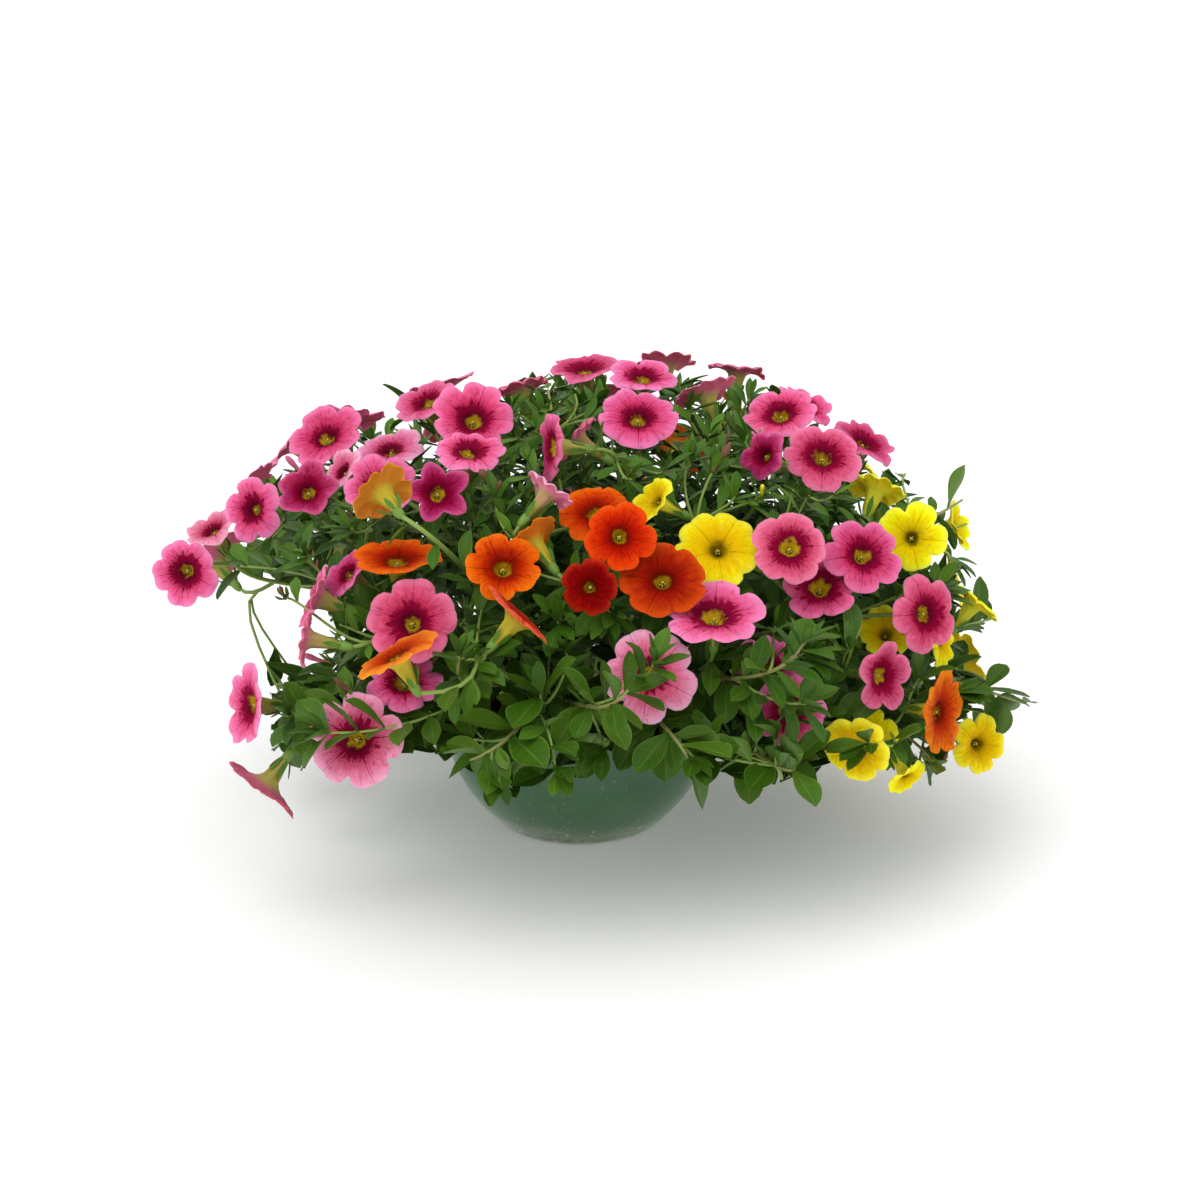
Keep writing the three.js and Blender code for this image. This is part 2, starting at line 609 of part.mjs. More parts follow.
// Joins a ring of few corners to a ring of more, both turning the same way.
function joinRings(points, firstAt, firstCount, secondAt, secondCount) {
  let start = 0;
  let nearest = Infinity;
  for (let k = 0; k < secondCount; k += 1) {
    const gap = size(sub(points[firstAt], points[secondAt + k]));
    if (gap < nearest) {
      nearest = gap;
      start = k;
    }
  }
  const triangles = [];
  let used = 0;
  for (let k = 0; k < secondCount; k += 1) {
    const a = firstAt + used % firstCount;
    const here = secondAt + (start + k) % secondCount;
    const next = secondAt + (start + k + 1) % secondCount;
    triangles.push([a, next, here]);
    if ((k + 1) / secondCount >= (used + 1) / firstCount) {
      triangles.push([a, firstAt + (used + 1) % firstCount, next]);
      used += 1;
    }
  }
  return triangles;
}

// A leaf blade folded along its midrib, its narrow foot sunk in the stem.
function leafSolid(leaf) {
  const half = leaf.width / 2;
  const points = [
    onLeaf(leaf, -0.03, 0, 0),
    onLeaf(leaf, 0.42, -half, 0.9), onLeaf(leaf, 0.42, half, 0.9),
    onLeaf(leaf, 0.78, -half * 0.74, 0.7), onLeaf(leaf, 0.78, half * 0.74, 0.7),
    onLeaf(leaf, 0.3, 0, 0.5), onLeaf(leaf, 0.3, 0, -0.75),
    onLeaf(leaf, 1, 0, 0),
  ];
  const [foot, midLeft, midRight, farLeft, farRight, rib, keel, tip] = points.keys();
  return solid(points, [
    [foot, rib, midLeft], [foot, midRight, rib],
    [midLeft, rib, farLeft], [midRight, farRight, rib], [farLeft, rib, tip], [farRight, tip, rib],
    [foot, midLeft, keel], [foot, keel, midRight],
    [midLeft, farLeft, keel], [midRight, keel, farRight], [farLeft, tip, keel], [farRight, keel, tip],
  ]);
}

function mainRadii(points) {
  return points.map((_, k) => mix(STEM_RADIUS, TWIG_RADIUS, Math.max(k - 1, 0) / (points.length - 2)));
}

// One shoot: its stem, twigs, blooms and leaves joined into a single body.
function shootSolid(shoot) {
  const down = add(shoot.root, [0, 0, -HOLE_DEPTH]);
  const main = [down, ...curvePoints(shoot.stem, STEM_STEPS)];
  const parts = [stemSolid(main, mainRadii(main), shoot.blooms[0])];
  shoot.twigs.forEach((curve, k) => {
    const points = curvePoints(curve, TWIG_STEPS);
    const radii = points.map((_, n) => (n === 0 ? TWIG_RADIUS / 2 : TWIG_RADIUS));
    parts.push(stemSolid(points, radii, shoot.blooms[k + 1]));
  });
  for (const leaf of shoot.leafList) parts.push(leafSolid(leaf));
  return wasm.Manifold.union(parts).asOriginal().simplify(JOIN_TOLERANCE);
}

// ---------------------------------------------------------------- pot and soil solids
function potRadius(height) {
  const part = Math.min(Math.max(height / POT_HEIGHT, 0), 1);
  return mix(POT_BASE_RADIUS, POT_RIM_RADIUS, 1 - Math.pow(1 - part, POT_BULGE));
}

function lathe(profile) {
  const points = profile.map(([radius, height]) => new THREE.Vector2(radius, height));
  const geometry = new THREE.LatheGeometry(points, POT_SEGMENTS);
  geometry.rotateX(Math.PI / 2);
  return asManifold(geometry);
}

function wallPoints(low, high, inwards, steps) {
  return Array.from({ length: steps + 1 }, (_, k) => {
    const height = mix(low, high, k / steps);
    return [potRadius(height) - inwards, height];
  });
}

const innerWall = () => wallPoints(POT_FLOOR, SOIL_TOP, POT_WALL, INNER_STEPS);

function potSolid() {
  const outside = wallPoints(1, POT_HEIGHT - LIP_HEIGHT, 0, OUTER_STEPS);
  const inside = innerWall().reverse();
  return lathe([
    [0, 0], [POT_BASE_RADIUS - 1, 0], ...outside,
    [POT_RIM_RADIUS + LIP_OUT, POT_HEIGHT - LIP_HEIGHT + 0.8],
    [POT_RIM_RADIUS + LIP_OUT, POT_HEIGHT - 0.8],
    [POT_RIM_RADIUS + LIP_OUT - 0.8, POT_HEIGHT],
    [POT_RIM_RADIUS - POT_WALL, POT_HEIGHT], ...inside, [0, POT_FLOOR],
  ]);
}

function soilSolid(shoots) {
  const side = innerWall().map(([radius, height]) => [radius - 1.3 * FIT_GAP, height]);
  side[0][1] += FIT_GAP;
  const body = lathe([[0, POT_FLOOR + FIT_GAP], ...side, [0, SOIL_TOP]]);
  const holes = shoots.map(({ root }) => {
    const down = add(root, [0, 0, -HOLE_DEPTH - FIT_GAP]);
    const up = add(root, [0, 0, 1]);
    const radius = STEM_RADIUS + 2 * FIT_GAP;
    return stemSolid([down, up], [radius, radius]);
  });
  return body.subtract(wasm.Manifold.union(holes));
}

// ---------------------------------------------------------------- the group
const SLOT_COLOURS = {
  pot: "#3f5c46",
  soil: "#2c2018",
  pink: "#e0609a",
  orange: "#ee5a12",
  yellow: "#f6dc10",
};

function mesh(name, manifold) {
  const { vertProperties, triVerts } = manifold.getMesh();
  const geometry = new THREE.BufferGeometry();
  geometry.setAttribute("position", new THREE.BufferAttribute(Float32Array.from(vertProperties), 3));
  geometry.setIndex(new THREE.BufferAttribute(Uint32Array.from(triVerts), 1));
  const colour = SLOT_COLOURS[name.split("_")[0]];
  const made = new THREE.Mesh(geometry, new THREE.MeshStandardMaterial({ color: colour }));
  made.name = name;
  return made;
}

const shoots = layOut();
const group = new THREE.Group();
group.add(mesh("pot", potSolid()));
group.add(mesh("soil", soilSolid(shoots)));
for (const shoot of shoots) group.add(mesh(shoot.name, shootSolid(shoot)));

export default group;
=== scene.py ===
"""Calibrachoa in a bowl pot: fine blooms, leaves, stems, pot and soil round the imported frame.

The layout of the shoots repeats the rules of the CAD source, in millimetres, so that each fine
shoot stands where its solid does. Everything is turned into metres as the meshes are made.
"""

from itertools import count
from math import asin, cos, degrees, floor, hypot, inf, pi, radians, sin, sqrt
from types import SimpleNamespace as Thing

import bpy
import numpy as np
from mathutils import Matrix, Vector


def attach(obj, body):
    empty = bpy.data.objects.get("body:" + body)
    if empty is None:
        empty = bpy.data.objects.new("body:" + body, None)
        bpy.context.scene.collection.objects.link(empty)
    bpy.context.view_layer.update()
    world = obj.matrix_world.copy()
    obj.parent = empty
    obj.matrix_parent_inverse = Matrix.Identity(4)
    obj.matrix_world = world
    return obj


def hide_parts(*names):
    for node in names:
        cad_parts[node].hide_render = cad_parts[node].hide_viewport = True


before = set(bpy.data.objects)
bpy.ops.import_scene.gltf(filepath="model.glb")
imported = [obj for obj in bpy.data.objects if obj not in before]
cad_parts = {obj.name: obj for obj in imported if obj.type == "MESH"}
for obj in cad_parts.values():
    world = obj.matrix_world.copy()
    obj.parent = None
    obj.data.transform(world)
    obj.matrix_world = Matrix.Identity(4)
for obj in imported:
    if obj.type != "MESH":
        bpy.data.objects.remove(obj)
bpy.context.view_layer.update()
MM = 0.001

# ---------------------------------------------------------------- pot and soil
POT_RIM_RADIUS = 53.5
POT_BASE_RADIUS = 31
POT_HEIGHT = 49
POT_BULGE = 2.5
POT_WALL = 2
POT_FLOOR = 2.5
LIP_HEIGHT = 4.5
LIP_OUT = 1.2
SOIL_TOP = 43
HOLE_DEPTH = 8

# ---------------------------------------------------------------- the mound, seen from the front
GRID_MM = 0.392  # one step of the front view's grid, at the sight target
GRID_CENTRE = (600, 600)
GRID_SIZE = 1200
SIGHT_DISTANCE = 1250  # from the eye to the sight target
SIGHT_TILT = radians(17.5)  # how far the view looks down
SIGHT_TARGET = (8.2, 0, 90.8)
MOUND_HALF_WIDTH = 160
MOUND_HALF_DEPTH = 148
MOUND_MIDDLE_HEIGHT = 62
MOUND_RISE = 116
MOUND_DROP = 44
MOUND_SQUARENESS = 2.4

# ---------------------------------------------------------------- stems, blooms and leaves
STEM_RADIUS = 1.25
TWIG_RADIUS = 0.95
STEM_STEPS = 6
TWIG_STEPS = 3
TUBE_LENGTH = 17
LOBE = radians(72)  # the angle that one of a bloom's five lobes takes up
ROOT_CIRCLE = 43
ROOT_SPACING = 5.2
ROOT_TRIES = 400
ROOT_STEP = 1.1  # the tries for a root wind outwards by this, times the square root of their number
FULL_REACH = 165  # shoots that reach this far out have their roots on the root circle
BLOOM_GUARD = 0.18  # of the radius
STEM_GUARD = 2.0
LEAF_GUARD = 2.9
FACE_GUARD = 3
TUBE_GUARD = (4.4, 0.15)  # at the face, and how much less a millimetre further back
RIM_GUARD = 5
RIM_POINTS = 40
LEAF_TRIES = 14
BEND_TRIES = 60
BOW_STEP = 0.7  # each try bows a stem this much further aside
LOWER_BOW = 0.6  # and its lower end by this share of that
STEM_LEAN = 0.25  # a stem first leans outwards by this share of its root's place,
STEM_RISE = 0.36  # rises by this share of its length,
STEM_END = (0.22, 0.04)  # and ends along its bloom's axis from this far back and above
TWIG_START = 0.35  # how far a twig keeps to its stem's way at first, of its length
TWIG_END = 0.3  # and to its bloom's axis at last
LEAF_SPREADS = (48, 57, 66, 75)  # degrees away from the stem, tried in turn
LEAF_TURN = 2.6  # radians round the stem from one leaf to the next
BROAD_BELOW = 78  # leaves are broad below this height and narrow near the top
NARROW_ABOVE = 148
LEAF_LENGTH = (19, 15)  # low down and near the top
LEAF_BREADTH = (0.52, 0.36)  # width over length, low down and near the top
SEED = 20261

# Blooms of the front, one row a shoot. A bloom is its place across, down and inset, its turn and
# tilt, its width, and a tint where it isn't the plant's own. The shoots of each plant are numbered
# in this order, so the first row here is pink_01.
PINK_BLOOMS = [
    [(185, 572, 0, -12, 10, 27), (251, 509, 0, -35, 20, 25), (211, 528, 14, -60, 60, 22, "pale")],
    [(307, 490, 0, -10, 45, 26, "deep"), (340, 470, 20, -60, 40, 20, "pale")],
    [(325, 435, 0, -30, 55, 31), (352, 415, 32, 160, 62, 27)],
    [(473, 418, 0, 5, 48, 33), (425, 400, 26, -50, 60, 26)],
    [(469, 449, -2, 10, 72, 27), (390, 447, 22, -20, 72, 27, "pale")],
    [(438, 492, 0, 10, 35, 26, "deep"), (380, 487, 6, -5, 50, 29)],
    [(549, 447, 0, -72, 8, 28, "dusky"), (574, 437, 14, -110, 30, 21, "dusky"),
     (551, 489, -2, 125, 40, 20, "pale")],
    [(585, 367, 0, -30, 83, 30, "rose"), (520, 385, 8, -150, 60, 24, "dusky")],
    [(643, 375, 0, 10, 76, 29), (665, 362, 34, 180, 58, 26, "dusky")],
    [(705, 390, 0, -150, 55, 27, "dusky"), (738, 367, 14, 150, 72, 25, "dusky")],
    [(638, 416, 0, 0, 58, 32)],
    [(780, 412, 0, -25, 60, 30), (806, 404, 26, 60, 60, 25)],
    [(823, 455, 0, 8, 55, 32, "rose"), (762, 455, 2, -40, 25, 21, "deep"),
     (866, 440, 20, 60, 58, 27, "dusky")],
    [(790, 547, -2, 0, 35, 28, "rose"), (820, 586, 14, 0, 50, 29, "rose")],
    [(864, 554, 0, 20, 40, 31, "rose")],
    [(928, 614, 0, 35, 15, 31, "dusky"), (884, 676, 6, 45, 10, 27, "dusky")],
    [(714, 613, 0, 0, 71, 37)],
    [(411, 622, 0, -5, 33, 33, "rose"), (403, 680, 9, 0, 55, 28)],
    [(247, 705, 0, -62, 10, 30), (355, 740, -6, -12, 20, 35, "pale"), (263, 789, 0, -70, -50, 31, "rosy")],
    [(650, 675, 4, 0, 15, 35, "pale")],
    [(790, 710, 8, 10, 10, 27), (765, 670, 26, 5, 15, 26)],
    [(313, 596, 6, -86, 25, 25), (303, 638, -8, -95, 10, 21, "dusky"), (345, 572, 14, -60, 40, 22)],
]
ORANGE_BLOOMS = [
    [(397, 557, 7, -5, 80, 32), (394, 652, -27, -90, 62, 33, "apricot")],
    [(503, 566, 0, 5, 46, 29), (521, 614, -4, 105, 46, 30, "salmon")],
    [(594, 511, 14, -10, 56, 28), (530, 540, 12, -140, 30, 24)],
    [(620, 536, -8, 5, 25, 26, "scarlet"), (590, 587, -2, 0, 20, 21, "red")],
    [(663, 578, 0, 5, 50, 33, "flame")],
    [(380, 491, -20, -149, 18, 24, "amber")],
    [(943, 713, -2, 58, 4, 32, "copper")],
]
YELLOW_BLOOMS = [
    [(718, 547, 11, 0, 45, 33), (653, 500, 8, -60, 30, 19)],
    [(911, 538, 0, -8, 20, 27), (877, 485, 8, 150, 50, 24), (958, 525, 14, 75, 20, 22)],
    [(977, 599, 2, 110, 48, 23), (945, 642, 22, 60, 0, 21), (886, 633, 32, 0, 40, 22)],
    [(855, 751, 0, -20, -12, 27), (876, 735, 16, 40, 30, 22), (908, 780, -4, 30, -35, 17)],
    [(980, 745, 0, 25, 10, 24)],
]
PLANTS = {"pink": PINK_BLOOMS, "orange": ORANGE_BLOOMS, "yellow": YELLOW_BLOOMS}
USUAL_LEAVES = 4
LEAF_COUNTS = {"pink_01": 5, "pink_19": 6, "orange_04": 3}
LEAF_LENGTHS = {"orange_06": 13}
# Shoots with no bloom, numbered after the others of their plant: the number of leaves and their
# length, then the places of the tip and of the bend across, down and inset.
LEAFY_SHOOTS = [
    ("pink", 7, 25, (470, 760, -12), (545, 735, -18)),
    ("pink", 6, 20, (460, 655, -6), (440, 728, -14)),
    ("pink", 6, 20, (628, 690, -18), (705, 712, -22)),
    ("yellow", 8, 22, (806, 640, -22), (752, 722, -20)),
    ("yellow", 6, 17, (1024, 703, 0), (915, 716, 4)),
    ("yellow", 5, 24, (688, 757, -6), (676, 715, -14)),
    ("yellow", 6, 22, (795, 766, -4), (755, 720, -12)),
    ("yellow", 5, 20, (932, 763, -4), (890, 690, 22)),
    ("yellow", 5, 17, (962, 500, 6), (900, 545, 8)),
    ("orange", 6, 24, (540, 694, 8), (552, 728, 4)),
    ("pink", 5, 11, (548, 390, 4), (560, 450, 14)),
]

BACK_SPRAYS = 12
BACK_TIPS = 3
BACK_LEAVES = 5
BACK_SHARE = (0.93, 1)  # how far out the blooms of the back are, of the way to the mound's surface
BACK_TIP_LEAVES = 6
BACK_TIP_SHARE = 0.97  # how far out the tips of the back are,
BACK_BEND_SHARE = 0.6  # how far out their stems bend,
BACK_BEND_RISE = 14  # and how far above that
BACK_FIRST_TURN = 12
BACK_LAST_TURN = 168
SPRAY_REACH = 34
BACK_BLOOM_WIDTH = (26, 32)
YELLOW_UNTIL_TURN = 45
ORANGE_UNTIL_TURN = 85
PINK_FROM_SPRAY = 9  # the highest sprays are pink all round
OPEN_LEFT = -112  # the mound is open at its left edge below this height
OPEN_BELOW = 92
GOLDEN_TURN = 137.508  # degrees, the golden angle

# ---------------------------------------------------------------- small vector helpers
UP = (0.0, 0.0, 1.0)


def add(a, b):
    return (a[0] + b[0], a[1] + b[1], a[2] + b[2])


def sub(a, b):
    return (a[0] - b[0], a[1] - b[1], a[2] - b[2])


def times(a, k):
    return (a[0] * k, a[1] * k, a[2] * k)


def along(a, b, k):
    return (a[0] + b[0] * k, a[1] + b[1] * k, a[2] + b[2] * k)


def dot(a, b):
    return a[0] * b[0] + a[1] * b[1] + a[2] * b[2]


def cross(a, b):
    return (a[1] * b[2] - a[2] * b[1], a[2] * b[0] - a[0] * b[2], a[0] * b[1] - a[1] * b[0])


def size(a):
    return sqrt(dot(a, a))


def unit(a):
    return times(a, 1 / max(size(a), 1e-9))


def mix(a, b, t):
    return a + (b - a) * t


def clip(value):
    return min(max(value, 0), 1)


seed = SEED


def draw():
    """A repeatable draw between 0 and 1."""
    global seed
    seed = (seed * 16807) % 2147483647
    return seed / 2147483647


def draw_between(low, high):
    return mix(low, high, draw())


def stray():
    """A small draw that tips a direction aside and upwards."""
    return (draw_between(-0.35, 0.35), draw_between(-0.35, 0.35), draw_between(0, 0.6))


def square_to(axis):
    """Two directions square to a given one."""
    helper = (0.0, 1.0, 0.0) if abs(axis[2]) > 0.92 else UP
    first = unit(cross(helper, axis))
    return first, cross(axis, first)


def around(axis, angle):
    """The direction square to an axis that lies at an angle round it."""
    u, v = square_to(axis)
    return add(times(u, cos(angle)), times(v, sin(angle)))


def facing(turn, tilt):
    """The direction that a face turned right and tilted up looks in."""
    flat = cos(radians(tilt))
    turn = radians(turn)
    return (sin(turn) * flat, -cos(turn) * flat, sin(radians(tilt)))


# ---------------------------------------------------------------- places on the mound
SIGHT_AHEAD = (0.0, cos(SIGHT_TILT), -sin(SIGHT_TILT))
SIGHT_ABOVE = (0.0, sin(SIGHT_TILT), cos(SIGHT_TILT))
EYE = along(SIGHT_TARGET, SIGHT_AHEAD, -SIGHT_DISTANCE)


def mound_reach(point):
    """How far out a point lies: 1 on the mound's surface, less inside."""
    height = point[2] - MOUND_MIDDLE_HEIGHT
    half = MOUND_RISE if height > 0 else MOUND_DROP
    return (
        (abs(point[0]) / MOUND_HALF_WIDTH) ** MOUND_SQUARENESS
        + (abs(point[1]) / MOUND_HALF_DEPTH) ** MOUND_SQUARENESS
        + (abs(height) / half) ** MOUND_SQUARENESS
    )


def on_sight_line(across, down, depth):
    """The point on the sight line through a grid place that lies at a given depth."""
    right = (across - GRID_CENTRE[0]) * GRID_MM / SIGHT_DISTANCE
    rise = (GRID_CENTRE[1] - down) * GRID_MM / SIGHT_DISTANCE
    line = along((right, SIGHT_AHEAD[1], SIGHT_AHEAD[2]), SIGHT_ABOVE, rise)
    return along(EYE, line, (depth - EYE[1]) / line[1])


def on_grid(point):
    """The grid place, across and down, at which a point is seen from the front."""
    offset = sub(point, EYE)
    scale = SIGHT_DISTANCE / dot(offset, SIGHT_AHEAD) / GRID_MM
    return GRID_CENTRE[0] + offset[0] * scale, GRID_CENTRE[1] - dot(offset, SIGHT_ABOVE) * scale


def on_mound(across, down, inset):
    """The first point of a sight line that meets the mound, or the nearest one to it."""
    best = 0
    nearest = inf
    for depth in range(-MOUND_HALF_DEPTH, MOUND_HALF_DEPTH + 1):
        reach = mound_reach(on_sight_line(across, down, depth))
        if reach < nearest:
            nearest = reach
            best = depth
        if nearest <= 1:
            break
    return on_sight_line(across, down, best + inset)


def out_to(direction, part):
    """The mound's surface in a direction from its middle, or a part of the way there."""
    middle = (0, 0, MOUND_MIDDLE_HEIGHT)
    reach = mound_reach(add(middle, direction))
    return along(middle, direction, part / reach ** (1 / MOUND_SQUARENESS))


# ---------------------------------------------------------------- keeping pieces clear
CELL = 10
FACE_RINGS = ((0, 1), (0.33, 6), (0.66, 12), (0.95, 18))  # share of the radius, and points round it
nearby = {}


def cell_of(point):
    return tuple(floor(value / CELL) for value in point)


def keep(point, guard, owner):
    """Notes a point in its own cell and in the cells round it."""
    cx, cy, cz = cell_of(point)
    entry = (*point, guard, owner)
    for x in (cx - 1, cx, cx + 1):
        for y in (cy - 1, cy, cy + 1):
            for z in (cz - 1, cz, cz + 1):
                nearby.setdefault((x, y, z), []).append(entry)


def is_clear(point, guard, owner="none"):
    """Whether a point with its guard is clear of all that is kept, its own owner's left out."""
    px, py, pz = point
    for x, y, z, other_guard, other in nearby.get(cell_of(point), ()):
        if other == owner:
            continue
        reach = guard + other_guard
        if (px - x) ** 2 + (py - y) ** 2 + (pz - z) ** 2 < reach * reach:
            return False
    return True


def face_points(bloom):
    points = []
    for part, number in FACE_RINGS:
        centre = along(bloom.centre, bloom.facing, part - 1)
        for k in range(number):
            flat = around(bloom.facing, 2 * pi * k / number)
            points.append(along(centre, flat, part * bloom.radius))
    return points


def keep_bloom(bloom, owner):
    for point in face_points(bloom):
        keep(point, bloom.radius * BLOOM_GUARD, "face")
    for back in range(5, TUBE_LENGTH, 4):
        keep(along(bloom.centre, bloom.facing, -back), TUBE_GUARD[0] - back * TUBE_GUARD[1], owner)


# ---------------------------------------------------------------- curves
POINTS_IN_STEP = 6


def curve_point(curve, t):
    s = 1 - t
    total = (0.0, 0.0, 0.0)
    for point, weight in zip(curve, (s * s * s, 3 * s * s * t, 3 * s * t * t, t * t * t)):
        total = along(total, point, weight)
    return total


def curve_heading(curve, t, ahead):
    """Where a curve is at a place along it, and the way it runs on to a place a little ahead."""
    start = curve_point(curve, t)
    return start, unit(sub(curve_point(curve, t + ahead), start))


def curve_points(curve, steps):
    return [curve_point(curve, k / steps) for k in range(steps + 1)]


def step_points(curve, steps):
    """A line of straight steps along a curve, as points closer together than the steps."""
    joints = curve_points(curve, steps)
    points = []
    for low, high in zip(joints, joints[1:]):
        for n in range(1, POINTS_IN_STEP + 1):
            points.append(along(times(low, 1 - n / POINTS_IN_STEP), high, n / POINTS_IN_STEP))
    return points


def bend_clear(curve, steps, owner, tries=BEND_TRIES):
    """Bends the middle of a curve this way and that until it's clear, or as clear as can be."""
    axis = unit(sub(curve[3], curve[0]))
    best = curve
    fewest = inf
    for k in range(tries):
        if fewest == 0:
            break
        bow = times(around(axis, radians(k * GOLDEN_TURN)), k * BOW_STEP)
        bent = (curve[0], along(curve[1], bow, LOWER_BOW), add(curve[2], bow), curve[3])
        blocked = sum(not is_clear(point, STEM_GUARD, owner) for point in step_points(bent, steps))
        if blocked < fewest:
            fewest = blocked
            best = bent
    for point in step_points(best, steps):
        keep(point, STEM_GUARD, owner)
    return best


# ---------------------------------------------------------------- laying out the shoots
def read_bloom(row):
    across, down, inset, turn, tilt, width, *tint = row
    return Thing(centre=on_mound(across, down, inset), facing=facing(turn, tilt), radius=width / 2,
                 spin=draw() * LOBE, tint=tint[0] if tint else None)


def front_shoots():
    """The shoots that are given in rows, numbered by plant in the order of their rows."""
    numbers = {plant: count(1) for plant in PLANTS}
    shoots = []
    for plant, rows in PLANTS.items():
        for row in rows:
            name = f"{plant}_{next(numbers[plant]):02d}"
            blooms = [read_bloom(bloom) for bloom in row]
            for bloom in blooms:
                keep_bloom(bloom, name)
            shoots.append(Thing(name=name, blooms=blooms, leaves=LEAF_COUNTS.get(name, USUAL_LEAVES),
                                leaf_length=LEAF_LENGTHS.get(name)))
    for plant, leaves, leaf_length, tip, bend in LEAFY_SHOOTS:
        shoots.append(Thing(name=f"{plant}_{next(numbers[plant]):02d}", blooms=[], leaves=leaves,
                            leaf_length=leaf_length, tip_point=on_mound(*tip), bend_point=on_mound(*bend)))
    return shoots


def back_heading(index, number, first_turn, last_turn):
    """One of a number of directions spread over a range of turns, and its turn in degrees."""
    turn = radians(mix(first_turn, last_turn, (index * GOLDEN_TURN / 360) % 1))
    lift = asin(mix(-0.1, 0.9, (index + 0.5) / number))
    heading = (cos(turn) * cos(lift), sin(turn) * cos(lift), sin(lift))
    return heading, degrees(turn)


def back_spray(index):
    """A spray on the back: a leading bloom facing outwards and three others round it."""
    heading, turn = back_heading(index, BACK_SPRAYS, BACK_FIRST_TURN, BACK_LAST_TURN)
    lean = draw_between(0, 120)
    blooms = []
    for place in range(4):
        sideways = SPRAY_REACH / MOUND_HALF_DEPTH if place else 0
        offset = around(heading, radians(lean + place * 120))
        direction = unit(along(heading, offset, sideways))
        tipped = unit(add(direction, stray()))
        blooms.append(Thing(centre=out_to(direction, draw_between(*BACK_SHARE)), facing=tipped,
                            radius=draw_between(*BACK_BLOOM_WIDTH) / 2, spin=draw() * LOBE, tint=None))
    plant = "yellow" if turn < YELLOW_UNTIL_TURN else "orange"
    if index + 1 >= PINK_FROM_SPRAY or turn >= ORANGE_UNTIL_TURN:
        plant = "pink"
    return Thing(name=f"{plant}_back_{index + 1}", blooms=blooms, leaves=BACK_LEAVES, leaf_length=None)


def clear_blooms(spray):
    """Keeps those blooms of a spray that have room."""
    clear = []
    for bloom in spray.blooms:
        is_open_side = bloom.centre[0] < OPEN_LEFT and bloom.centre[2] < OPEN_BELOW
        if not is_open_side and all(is_clear(point, FACE_GUARD) for point in face_points(bloom)):
            keep_bloom(bloom, spray.name)
            clear.append(bloom)
    return clear


def back_tip(index):
    """A leafy tip on the back, between the sprays."""
    turn = mix(BACK_FIRST_TURN, BACK_LAST_TURN, (index + 0.5) / BACK_TIPS)
    heading, _ = back_heading(index, BACK_TIPS, turn, turn)
    bend_point = add(out_to(heading, BACK_BEND_SHARE), (0, 0, BACK_BEND_RISE))
    return Thing(name=f"pink_tip_{index + 1}", blooms=[], tip_point=out_to(heading, BACK_TIP_SHARE),
                 bend_point=bend_point, leaves=BACK_TIP_LEAVES, leaf_length=None)


roots = []


def find_root(tip):
    """Where a shoot leaves the soil: below its tip, drawn in and clear of the others."""
    reach = sqrt(tip[0] * tip[0] + tip[1] * tip[1])
    inwards = ROOT_CIRCLE * min(reach / FULL_REACH, 1) / max(reach, 1)
    for k in range(ROOT_TRIES):
        angle = radians(k * GOLDEN_TURN)
        away = ROOT_STEP * sqrt(k)
        root = (tip[0] * inwards + cos(angle) * away, tip[1] * inwards + sin(angle) * away, SOIL_TOP)
        is_free = all(size(sub(root, other)) >= ROOT_SPACING for other in roots)
        if hypot(root[0], root[1]) <= ROOT_CIRCLE and is_free:
            roots.append(root)
            return root
    raise ValueError("no room for a root")


def main_stem(shoot):
    """The main stem: up out of the soil, over the rim, and into the back of its first bloom."""
    lead = shoot.blooms[0] if shoot.blooms else None
    end = along(lead.centre, lead.facing, -TUBE_LENGTH) if lead else shoot.tip_point
    top = add(shoot.root, (0, 0, 1))
    length = size(sub(end, top))
    start = add(top, (top[0] * STEM_LEAN, top[1] * STEM_LEAN, length * STEM_RISE))
    lean_point = shoot.bend_point if not lead else along(
        along(end, lead.facing, -length * STEM_END[0]), UP, length * STEM_END[1])
    return bend_clear((top, start, lean_point, end), STEM_STEPS, shoot.name)


def side_twig(shoot, bloom, joint):
    """A side twig: from a joint of the main stem into the back of a later bloom."""
    end = along(bloom.centre, bloom.facing, -TUBE_LENGTH)
    start, heading = curve_heading(shoot.stem, joint, 0.05)
    length = size(sub(end, start))
    curve = (start, along(start, heading, length * TWIG_START),
             along(end, bloom.facing, -length * TWIG_END), end)
    return bend_clear(curve, TWIG_STEPS, shoot.name)


def on_leaf(leaf, part, sideways=0):
    droop = -leaf.length * leaf.droop * part * part
    middle = along(along(leaf.start, leaf.heading, leaf.length * part), leaf.normal, droop)
    return along(middle, leaf.side, sideways)


def leaf_points(leaf):
    points = []
    for part in (0.25, 0.45, 0.65, 0.85):
        for sideways in (-1, 0, 1):
            points.append(on_leaf(leaf, part, sideways * leaf.width * 0.34))
    points.append(on_leaf(leaf, 1))
    return points


def set_leaf(start, heading, angle, spread, length, width, droop=0.1):
    """A leaf that leaves a stem at an angle round it and a spread away from it."""
    outwards = around(heading, angle)
    direction = add(times(heading, cos(spread)), times(outwards, sin(spread)))
    skyward = add(times(heading, 0.5), UP)
    normal = unit(along(skyward, direction, -dot(skyward, direction)))
    return Thing(start=start, heading=direction, normal=normal, side=cross(direction, normal),
                 length=length, width=width, droop=droop)


